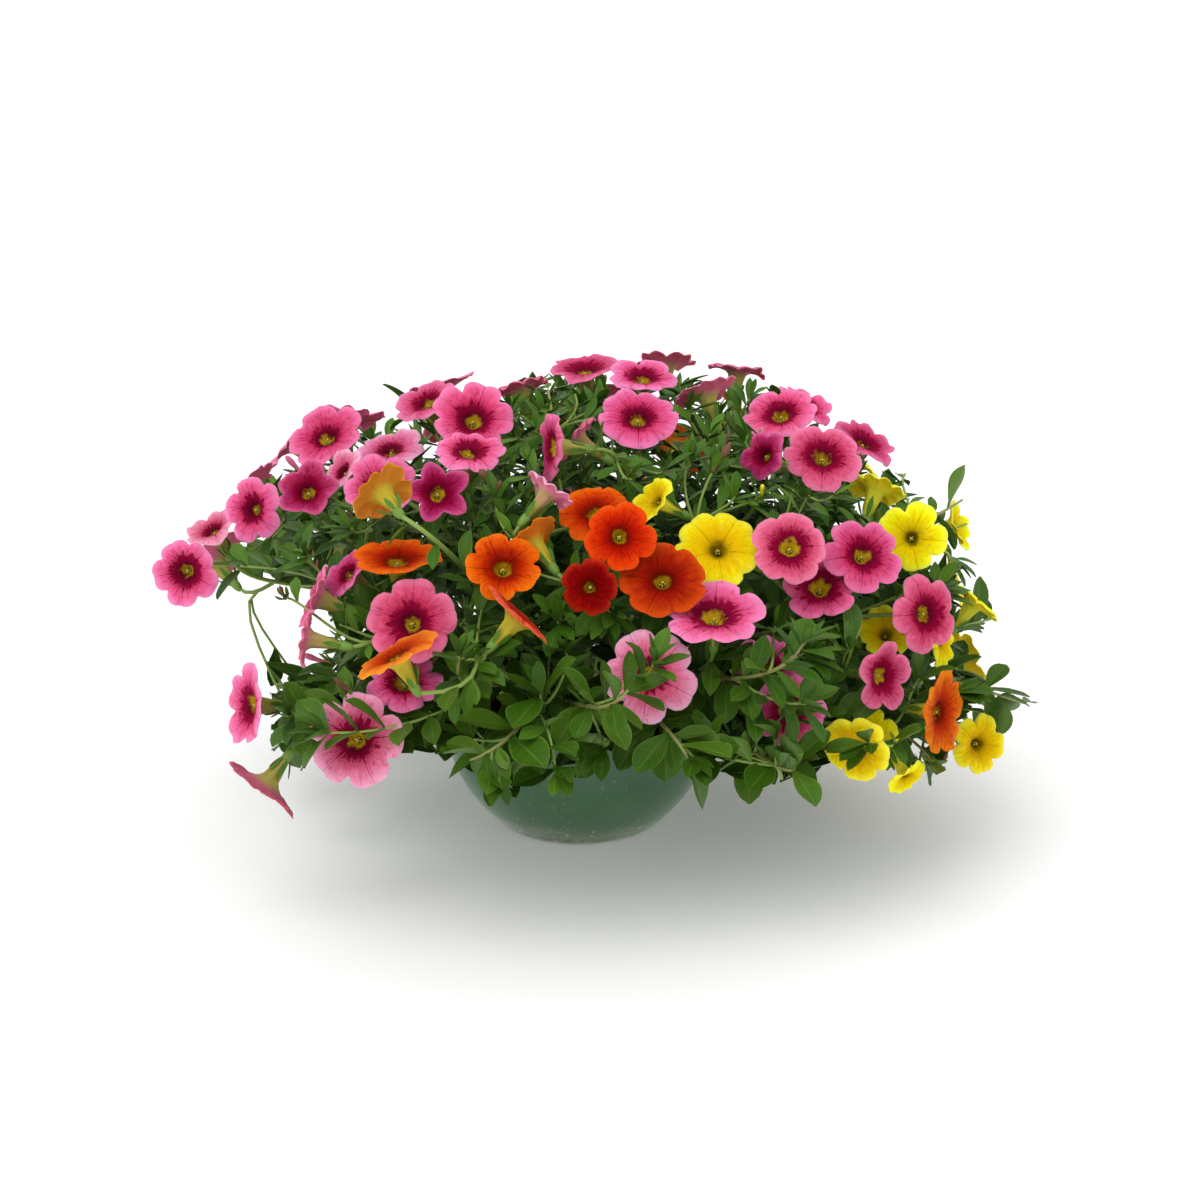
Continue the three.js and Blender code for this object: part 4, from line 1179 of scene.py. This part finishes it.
def add_heart(build, bloom):
    """The pistil and the anthers round it in the throat."""
    for k in range(5):
        away, knob = (bloom.radius * 0.05, 0.34) if k else (0, 0.5)
        height = draw_between(1.2, 2.2) if k else 3.0
        flat = around(bloom.facing, bloom.spin + k * pi / 2 + 0.4)
        base = along(along(bloom.centre, bloom.facing, -5.6), flat, away)
        points = [along(base, bloom.facing, height * t) for t in (0, 0.75, 0.9, 1.0, 1.1)]
        build.loft(tube_rings(points, [0.22, 0.22, knob, knob, knob * 0.4], 5), GREEN_SLOT, HEART_TINT)


def add_calyx(build, bloom):
    """A small green cup with five narrow lobes at the foot of the tube."""
    foot = along(bloom.centre, bloom.facing, -TUBE_LENGTH - 1.2)
    points = [along(foot, bloom.facing, height) for height in (0, 0.8, 2.2, 4.0, 5.0)]
    build.loft(tube_rings(points, [0.8, 1.35, 1.75, 1.95, 1.8], 10), GREEN_SLOT, CALYX_TINT)
    for k in range(5):
        outwards = around(bloom.facing, bloom.spin + (k + 0.5) * LOBE)
        start = along(along(foot, bloom.facing, 3.2), outwards, 1.25)
        splay = draw_between(0.14, 0.5)
        add_sepal(build, start, bloom.facing, outwards, splay, draw_between(7, 10), 2.0, 6)


def add_bloom(build, bloom, plant):
    style = bloom_style(bloom.tint)
    rings, *shares = bloom_rings(bloom, style)
    cast = np.array([1.0, draw_between(0.88, 1.14), draw_between(0.9, 1.14)]) * draw_between(0.86, 1.1)
    tint = tuple(np.array(TINTS[bloom.tint or plant]) * cast)
    build.loft(rings, PETAL_SLOT, tint, *shares, style.eye)
    add_heart(build, bloom)
    add_calyx(build, bloom)


def add_bud_forms(build, bud, plant):
    """A closed or faded corolla in a small calyx."""
    points = [along(bud.foot, bud.heading, bud.length * t) for t, _ in BUD_STATIONS]
    plump = bud.length / FULL_BUD_LENGTH
    crumple = 0.45 if bud.tint else 0.0
    radii = [radius * plump * (1 + draw_between(-crumple, crumple)) for _, radius in BUD_STATIONS]
    part = np.linspace(0.2, 0.66, len(points))[:, None]
    slot, tint, under = (GREEN_SLOT, bud.tint, 0.0) if bud.tint else (PETAL_SLOT, plant, 1.0)
    build.loft(tube_rings(points, radii, 8), slot, TINTS[tint], part, 0.5, under)
    for k in range(5):
        outwards = around(bud.heading, k * LOBE)
        start = along(bud.foot, outwards, 0.7)
        add_sepal(build, start, bud.heading, outwards, draw_between(0.16, 0.5), bud.length * 0.55, 1.8, 5)


# ---------------------------------------------------------------- shoots
STEM_RINGS = 22
TWIG_RINGS = 12
EXTRA_TWIG_RINGS = 8
EXTRA_TWIG_RADIUS = 0.62
STALK_RADIUS = 0.8  # where a stem meets its bloom
LEAFY_TIP_RADIUS = 0.5
TWIG_END_RADIUS = 0.75
STEM_AROUND = 8


def add_stem(build, curve, steps, first_radius, last_radius, below=None, tint=STEM_YOUNG):
    points = curve_points(curve, steps)
    radii = [mix(first_radius, last_radius, k / steps) for k in range(steps + 1)]
    if below:
        points.insert(0, below)
        radii.insert(0, first_radius)
    age = np.linspace(0, 1, len(points))[:, None]
    build.loft(tube_rings(points, radii, STEM_AROUND), GREEN_SLOT, tint, age)


def make_shoot(shoot, petals, green):
    """A shoot as one piece, with all that grows on it."""
    plant = shoot.name.split("_")[0]
    build = Build(shoot.name + "_fine", [petals[plant], green])
    below = add(shoot.root, (0, 0, -HOLE_DEPTH))
    end_radius, tint = (STALK_RADIUS, STEM_YOUNG) if shoot.blooms else (LEAFY_TIP_RADIUS, STEM_WOODY)
    add_stem(build, shoot.stem, STEM_RINGS, STEM_RADIUS, end_radius, below, tint)
    for twig in shoot.twigs:
        add_stem(build, twig, TWIG_RINGS, TWIG_RADIUS, TWIG_END_RADIUS)
    for twig in shoot.extra_twigs:
        add_stem(build, twig, EXTRA_TWIG_RINGS, EXTRA_TWIG_RADIUS, EXTRA_TWIG_RADIUS * 0.7)
    for bloom in shoot.blooms:
        add_bloom(build, bloom, plant)
    for bud in shoot.buds:
        add_bud_forms(build, bud, plant)
    for leaf in shoot.leaf_list:
        add_blade(build, leaf, *LEAF_MESH)
    for leaf in shoot.extra_leaves:
        add_blade(build, leaf, *(BROAD_MESH if leaf.width > BROAD_FROM else NARROW_MESH))
    build.finish(shoot.name)


# ---------------------------------------------------------------- materials
class Nodes:
    """A material's node tree, with short calls for the nodes used here."""

    def __init__(self, name):
        self.material = bpy.data.materials.new(name)
        self.material.use_nodes = True
        self.tree = self.material.node_tree
        self.shader = self.tree.nodes["Principled BSDF"]

    def wire(self, value, socket):
        if isinstance(value, bpy.types.NodeSocket):
            self.tree.links.new(value, socket)
        else:
            socket.default_value = (*value, 1.0) if socket.type == "RGBA" else value

    def node(self, kind, inputs, output=0, **settings):
        """A new node's output. Its inputs are given by number or name, and its settings by name."""
        node = self.tree.nodes.new("ShaderNode" + kind)
        for name, value in settings.items():
            setattr(node, name, value)
        for key, value in inputs.items():
            self.wire(value, node.inputs[key])
        return node.outputs[output]

    def attribute(self, name, output="Fac"):
        return self.node("Attribute", {}, output, attribute_name=name)

    def where(self):
        """A point's place on the object, in metres."""
        return self.node("TexCoord", {}, "Object")

    def math(self, kind, a, b=0.0, c=0.0):
        return self.node("Math", {0: a, 1: b, 2: c}, operation=kind)

    def times(self, a, b):
        return self.math("MULTIPLY", a, b)

    def times_add(self, a, b, c):
        return self.math("MULTIPLY_ADD", a, b, c)

    def ramp(self, value, low, high, at_low=0.0, at_high=1.0):
        """Eases from one number to another as a value goes from low to high."""
        inputs = dict(enumerate((value, low, high, at_low, at_high)))
        return self.node("MapRange", inputs, interpolation_type="SMOOTHSTEP")

    def noise(self, scale, detail=3.0, roughness=0.55, place=None):
        place = place or self.where()
        inputs = {"Vector": place, "Scale": scale, "Detail": detail, "Roughness": roughness}
        return self.node("TexNoise", inputs, "Fac")

    def blend(self, share, a, b, kind="MIX"):
        return self.node("Mix", {0: share, 6: a, 7: b}, 2, data_type="RGBA", blend_type=kind)

    def coats(self, colour, *coats):
        """Lays colours over a first one, each by its share, and multiplied where it says so."""
        for share, over, *kind in coats:
            colour = self.blend(share, colour, over, *kind)
        return colour

    def bump(self, height, distance, strength):
        normal = self.node("Bump", {"Strength": strength, "Distance": distance, "Height": height})
        self.wire(normal, self.shader.inputs["Normal"])

    def set(self, **values):
        for name, value in values.items():
            self.wire(value, self.shader.inputs[name.replace("_", " ")])
        return self.material


def vein_lines(nodes, along_lines, across_lines, lean, stray, strayed, spacing, width):
    """Fine lines side by side that lean and stray a little."""
    place = nodes.times_add(stray, strayed, nodes.times_add(along_lines, lean, across_lines))
    return nodes.ramp(nodes.math("PINGPONG", place, spacing), 0.0, width, 1.0, 0.0)


# In each look the glow colour is a painted highlight's tint, and the shade colour darkens the painted
# shade of rays and seams.
PETAL_LOOKS = {
    "pink": Thing(eye=srgb(122, 0, 42), eye_reach=0.47, eye_soft=0.1, eye_share=0.97,
                  eye_heart=srgb(84, 0, 24), throat=srgb(186, 152, 20), vein=srgb(132, 4, 60),
                  inner=srgb(232, 146, 178), shade=srgb(226, 160, 184), glow=srgb(84, 76, 76),
                  mottle=srgb(196, 56, 98), mottled=0.4, back=srgb(216, 124, 152),
                  tube=srgb(158, 156, 72)),
    "orange": Thing(eye=srgb(112, 6, 2), eye_reach=0.42, eye_soft=0.2, eye_share=0.82,
                    eye_heart=srgb(76, 8, 0), throat=srgb(158, 128, 12), vein=srgb(100, 6, 0),
                    inner=srgb(224, 116, 96), shade=srgb(222, 128, 92), glow=srgb(56, 40, 8),
                    mottle=srgb(166, 26, 4), mottled=0.6, back=srgb(206, 132, 44),
                    tube=srgb(182, 170, 54)),
    "yellow": Thing(eye=srgb(158, 116, 0), eye_reach=0.32, eye_soft=0.2, eye_share=0.65,
                    eye_heart=srgb(80, 62, 2), throat=srgb(112, 92, 6), vein=srgb(180, 138, 0),
                    inner=srgb(244, 220, 150), shade=srgb(242, 220, 160), glow=srgb(36, 44, 66),
                    mottle=srgb(212, 180, 0), mottled=0.45, back=srgb(240, 224, 56),
                    tube=srgb(198, 194, 56)),
}


def petal_material(name, look):
    nodes = Nodes(name)
    ramp, times, times_add = nodes.ramp, nodes.times, nodes.times_add
    part, lobe, under = (nodes.attribute(key) for key in ("part", "lobe", "under"))
    tint = nodes.attribute("tint", "Color")

    # Rays from the throat outwards, and veins: one down the middle of each lobe, and fine ones.
    stray = nodes.math("SUBTRACT", nodes.noise(420), 0.5)
    cloud = nodes.noise(75)
    ray_place = {0: times(lobe, 4.2), 1: times(part, 1.1), 2: times(cloud, 14.0)}
    ray = nodes.noise(1.0, 2.0, place=nodes.node("CombineXYZ", ray_place))
    midrib = nodes.math("DIVIDE", lobe, ramp(part, 0.3, 0.95, 0.055, 0.024))
    midrib = times(ramp(midrib, 0.25, 1.0, 1.0, 0.0), ramp(part, 0.55, 1.0, 0.7, 0.4))
    fine = vein_lines(nodes, part, lobe, -0.2, stray, 0.05, 0.1, 0.022)
    veins = nodes.math("MAXIMUM", midrib, times(fine, ramp(part, 0.45, 0.9, 0.34, 0.0)))

    # The petal's own colour, paler near the eye and mottled, with painted shade along some rays and in the
    # seams where the lobes meet, and a painted highlight on some rays and towards the rim, where the rim
    # is also a little paler of its own.
    mottle = times(ramp(cloud, 0.42, 0.62), look.mottled)
    # Painted shade: the seam mask darkens the creases where the lobes meet, and the shade tint also
    # darkens some rays like shaded folds.
    seam = times(ramp(lobe, 0.84, 1.0), ramp(part, 0.35, 0.65, 0.0, 0.55))
    petal = nodes.coats(tint, (mottle, nodes.blend(0.5, tint, look.mottle)),
                        (ramp(part, 0.4, 0.84, 0.9, 0.0), look.inner, "MULTIPLY"),
                        (ramp(ray, 0.48, 0.3, 0.0, 0.75), look.shade, "MULTIPLY"),
                        (seam, look.shade, "MULTIPLY"))
    # Painted highlight: the petal screened lighter on some rays and towards the rim, where the rim is also
    # partly paler of its own.
    highlight_colour = nodes.blend(1.0, nodes.blend(1.0, petal, petal, "SCREEN"), look.glow, "SCREEN")
    lit = nodes.math("MAXIMUM", ramp(ray, 0.48, 0.78, 0.0, 0.4), ramp(part, 0.72, 1.0, 0.0, 0.65))

    # The dark eye, whose edge runs out along the veins and rays, the throat inside it, and painted shade
    # at the bottom of the throat.
    inner = nodes.math("DIVIDE", part, nodes.attribute("eye"))
    reach = times_add(veins, -0.2, times_add(stray, 0.2, inner))
    reach = times_add(nodes.math("SUBTRACT", 0.5, ray), 0.62, reach)
    eye = ramp(reach, look.eye_reach - look.eye_soft, look.eye_reach + look.eye_soft * 0.6,
               look.eye_share, 0.0)
    eye_colour = nodes.blend(ramp(part, 0.18, 0.4), look.eye_heart, look.eye)
    star = times_add(stray, 0.24, times_add(cloud, 0.3, inner))
    # The last coat darkens the bottom of the throat: painted shade of that recess.
    face = nodes.coats(petal, (lit, highlight_colour), (veins, look.vein), (eye, eye_colour),
                       (ramp(star, 0.26, 0.37, 0.92, 0.0), look.throat),
                       (ramp(part, 0.03, 0.12, 0.85, 0.0), srgb(54, 46, 4)))

    # The back is paler than the face, partly its own colour and partly painted light for the light that
    # shines through the thin petal.
    back = nodes.coats(tint, (0.6, look.back), (times(veins, 0.5), look.vein),
                       (ramp(part, 0.22, 0.48, 0.95, 0.0), look.tube))
    height = times_add(veins, -0.7, times(nodes.noise(1500), 0.5))
    nodes.bump(times_add(ray, 1.2, height), 0.00025, 0.7)
    return nodes.set(Base_Color=nodes.blend(under, face, back), Roughness=0.6, Specular_IOR_Level=0.02,
                     Subsurface_Weight=0.6, Subsurface_Scale=0.0018, Subsurface_Radius=(1.0, 0.75, 0.8))


def green_material():
    nodes = Nodes("leaf_and_stem")
    ramp, times = nodes.ramp, nodes.times
    part, lobe, under = (nodes.attribute(key) for key in ("part", "lobe", "under"))
    tint = nodes.attribute("tint", "Color")
    stray = nodes.math("SUBTRACT", nodes.noise(300), 0.5)
    rib = ramp(lobe, 0.02, 0.12, 1.0, 0.0)
    side = vein_lines(nodes, lobe, part, -0.22, stray, 0.03, 0.075, 0.02)
    is_blade = ramp(lobe, 0.9, 0.97, 1.0, 0.0)
    veins = nodes.math("MAXIMUM", times(rib, 0.8), times(side, times(is_blade, 0.25)))
    blotch = times(ramp(nodes.noise(90, 4.0), 0.3, 0.75), 0.4)
    fresh = ramp(nodes.noise(140, 2.0), 0.45, 0.7, 0.0, 0.4)
    pale = nodes.blend(1.0, tint, srgb(112, 120, 62), "SCREEN")
    colour = nodes.coats(tint, (blotch, srgb(40, 82, 8)),
                         (fresh, nodes.blend(1.0, tint, srgb(44, 44, 10), "SCREEN")),
                         (times(veins, 0.32), pale), (ramp(lobe, 0.88, 1.0, 0.0, 0.42), pale),
                         (times(under, 0.35), srgb(112, 142, 78)))
    nodes.bump(nodes.times_add(veins, -0.8, times(nodes.noise(1100), 0.35)), 0.00022, 0.8)
    return nodes.set(Base_Color=colour, Roughness=0.42, Specular_IOR_Level=0.2)


def pot_material():
    nodes = Nodes("pot_plastic")
    ramp, times = nodes.ramp, nodes.times
    height = nodes.node("SeparateXYZ", {0: nodes.where()}, "Z")
    cloud = nodes.noise(45, 5.0, 0.6)
    stretched = nodes.node("Mapping", {"Vector": nodes.where(), "Scale": (1.0, 1.0, 0.35)})
    scuff = nodes.noise(180, 6.0, 0.7, stretched)
    low = nodes.times_add(nodes.math("SUBTRACT", cloud, 0.5), 0.014, height)
    dust = times(ramp(low, 0.006, 0.0105, 1.0, 0.0),
                 ramp(nodes.noise(420, 5.0, 0.8), 0.4, 0.6, 0.12, 0.75))
    dirt = times(ramp(low, 0.001, 0.0045, 1.0, 0.0), ramp(nodes.noise(260, 5.0, 0.7), 0.38, 0.62))
    specks = times(ramp(nodes.noise(520, 2.0, 0.5), 0.67, 0.73), ramp(low, 0.008, 0.02, 1.0, 0.15))
    base = nodes.coats(srgb(68, 104, 72), (ramp(cloud, 0.35, 0.7), srgb(76, 111, 80)),
                       (ramp(height, 0.026, 0.046, 0.0, 0.55), srgb(80, 106, 98)),
                       (ramp(scuff, 0.62, 0.76, 0.0, 0.2), srgb(140, 160, 140)),
                       (dust, srgb(128, 138, 112)), (times(dirt, 0.7), srgb(92, 78, 58)),
                       (specks, srgb(206, 206, 184)))
    rough = ramp(nodes.math("ADD", times(dirt, 0.6), cloud), 0.3, 1.1, 0.34, 0.7)
    nodes.bump(nodes.math("ADD", times(nodes.noise(700, 3.0, 0.7), 0.5), dirt), 0.00012, 0.6)
    return nodes.set(Base_Color=base, Roughness=rough, Specular_IOR_Level=0.3,
                     Sheen_Weight=0.8, Sheen_Roughness=0.35, Sheen_Tint=(0.9, 1.0, 0.92))


def soil_material():
    nodes = Nodes("potting_mix")
    fibre = nodes.ramp(nodes.noise(300, 6.0, 0.7), 0.35, 0.7)
    grit = nodes.ramp(nodes.noise(700, 2.0), 0.66, 0.72)
    colour = nodes.coats(srgb(34, 24, 18), (fibre, srgb(82, 60, 42)), (grit, srgb(196, 188, 168)))
    nodes.bump(nodes.noise(900, 5.0, 0.7), 0.0006, 0.9)
    return nodes.set(Base_Color=colour, Roughness=0.95, Specular_IOR_Level=0.2)


# ---------------------------------------------------------------- pot and soil
POT_AROUND = 128
SOIL_GAP = 0.7  # between the soil and the pot's wall
SOIL_BUMPS = (-0.9, 0.8)
SOIL_RINGS = 26
SOIL_CRUMBS = 260
CRUMB_CIRCLE = 49


def pot_radius(height):
    return mix(POT_BASE_RADIUS, POT_RIM_RADIUS, 1 - (1 - clip(height / POT_HEIGHT)) ** POT_BULGE)


def lathe_rings(profile):
    angles = np.arange(POT_AROUND) * 2 * pi / POT_AROUND
    return np.array([np.stack([radius * np.cos(angles), radius * np.sin(angles),
                               np.full(POT_AROUND, height)], axis=-1) for radius, height in profile])


def rounded(radius, height, curve, first, last):
    """Points round a small edge, from one angle to another in degrees."""
    return [(radius + curve * cos(radians(a)), height + curve * sin(radians(a)))
            for a in np.linspace(first, last, 5)]


def wall(low, high, inwards, steps):
    heights = [mix(low, high, k / steps) for k in range(steps + 1)]
    return [(pot_radius(height) - inwards, height) for height in heights]


def make_pot():
    build = Build("pot_fine", [pot_material()])
    lip = POT_RIM_RADIUS + LIP_OUT
    shoulder = POT_HEIGHT - LIP_HEIGHT
    profile = [(2.0, 1.2), (POT_BASE_RADIUS - 6, 1.2), (POT_BASE_RADIUS - 5, 0.3),
               (POT_BASE_RADIUS - 4.2, 0.0), (POT_BASE_RADIUS - 1.4, 0.0)]
    profile += wall(0.7, shoulder - 0.3, 0, 26)
    profile += [(pot_radius(shoulder) + 0.3, shoulder)]
    profile += rounded(lip - 0.6, shoulder + 0.7, 0.6, -80, 0)
    profile += rounded(lip - 0.9, POT_HEIGHT - 0.9, 0.9, 0, 90)
    profile += rounded(POT_RIM_RADIUS - POT_WALL + 0.8, POT_HEIGHT - 0.8, 0.8, 90, 180)
    profile += wall(POT_FLOOR + 0.5, POT_HEIGHT - 3, POT_WALL, 14)[::-1]
    profile += [(POT_BASE_RADIUS - 4, POT_FLOOR), (2.0, POT_FLOOR)]
    build.loft(lathe_rings(profile), 0, POT_TINT)
    build.finish("pot")


def make_soil():
    build = Build("soil_fine", [soil_material()])
    profile = [(2.0, POT_FLOOR + 0.5)] + wall(POT_FLOOR + 0.5, SOIL_TOP - 0.6, POT_WALL + SOIL_GAP, 8)
    flat_from = len(profile)
    top_radius = pot_radius(SOIL_TOP) - POT_WALL - SOIL_GAP
    profile += [(top_radius * (1 - (k / SOIL_RINGS) ** 1.1) + 0.4, SOIL_TOP)
                for k in range(SOIL_RINGS + 1)]
    rings = lathe_rings(profile)
    rough = np.random.default_rng(SEED)
    bumps = rough.uniform(*SOIL_BUMPS, rings.shape[:2])
    bumps[:flat_from] = 0
    rings[..., 2] += bumps
    build.loft(rings, 0, SOIL_TINT)
    for _ in range(SOIL_CRUMBS):
        angle = rough.uniform(0, 2 * pi)
        away = CRUMB_CIRCLE * sqrt(rough.uniform(0, 1))
        middle = np.array([away * cos(angle), away * sin(angle), SOIL_TOP + 0.4])
        length = rough.uniform(0.8, 2.4)
        way = rough.normal(size=3)
        way /= np.linalg.norm(way)
        points = [middle + way * length * (t - 0.5) for t in (0, 0.2, 0.6, 1.0)]
        radii = np.array([0.3, 0.8, 0.9, 0.3]) * rough.uniform(0.5, 1.1)
        build.loft(tube_rings(points, radii, 6), 0, CRUMB_TINT)
    build.finish("soil")


# ---------------------------------------------------------------- the studio
SENSOR_MM = 36
FLOOR_REACH = 60  # metres
SKY_LIGHT = 0.88


def put(name, data, place, heading=None):
    """Adds an object to the scene, turned so that it looks along a heading."""
    thing = bpy.data.objects.new(name, data)
    thing.location = place
    if heading:
        thing.rotation_mode = "QUATERNION"
        thing.rotation_quaternion = Vector(heading).to_track_quat("-Z", "Y")
    bpy.context.scene.collection.objects.link(thing)
    return thing


def make_camera():
    camera = bpy.data.cameras.new("camera")
    camera.sensor_width = SENSOR_MM
    camera.lens = SENSOR_MM * SIGHT_DISTANCE / (GRID_SIZE * GRID_MM)
    camera.clip_start = 0.01
    camera.clip_end = 100
    bpy.context.scene.camera = put("camera", camera, Vector(EYE) * MM, SIGHT_AHEAD)


def make_light(name, place, spread, strength):
    """A soft light from far away, so that the floor is lit evenly."""
    light = bpy.data.lights.new(name, "SUN")
    light.angle = radians(spread)
    light.energy = strength
    put(name, light, place, times(place, -1))


def make_floor():
    corners = [(x * FLOOR_REACH, y * FLOOR_REACH, 0) for x, y in ((-1, -1), (1, -1), (1, 1), (-1, 1))]
    mesh = bpy.data.meshes.new("floor")
    mesh.from_pydata(corners, [], [(0, 1, 2, 3)])
    nodes = Nodes("floor_paper")
    shade = nodes.blend(nodes.noise(3, 2.0), (0.9, 0.9, 0.9), (0.92, 0.92, 0.92))
    mesh.materials.append(nodes.set(Base_Color=shade, Roughness=0.85, Specular_IOR_Level=0.1,
                                    Emission_Color=(1.0, 1.0, 1.0), Emission_Strength=0.14))
    floor = put("floor", mesh, (0, 0, 0))


def make_studio():
    world = bpy.data.worlds.new("studio")
    world.use_nodes = True
    background = world.node_tree.nodes["Background"]
    background.inputs["Color"].default_value = (1, 1, 1, 1)
    background.inputs["Strength"].default_value = SKY_LIGHT
    bpy.context.scene.world = world
    bpy.context.scene.view_settings.view_transform = "Standard"
    make_light("key", (-0.55, -0.95, 1.35), 45, 1.3)
    make_light("fill", (1.0, -1.1, 0.5), 60, 0.3)
    make_floor()
    make_camera()


shoots = lay_out()
cells_of_faces = face_cells()
grow_foliage()
make_studio()
petals = {plant: petal_material("petal_" + plant, look) for plant, look in PETAL_LOOKS.items()}
green = green_material()
make_pot()
make_soil()
for shoot in shoots:
    make_shoot(shoot, petals, green)

bpy.context.view_layer.update()
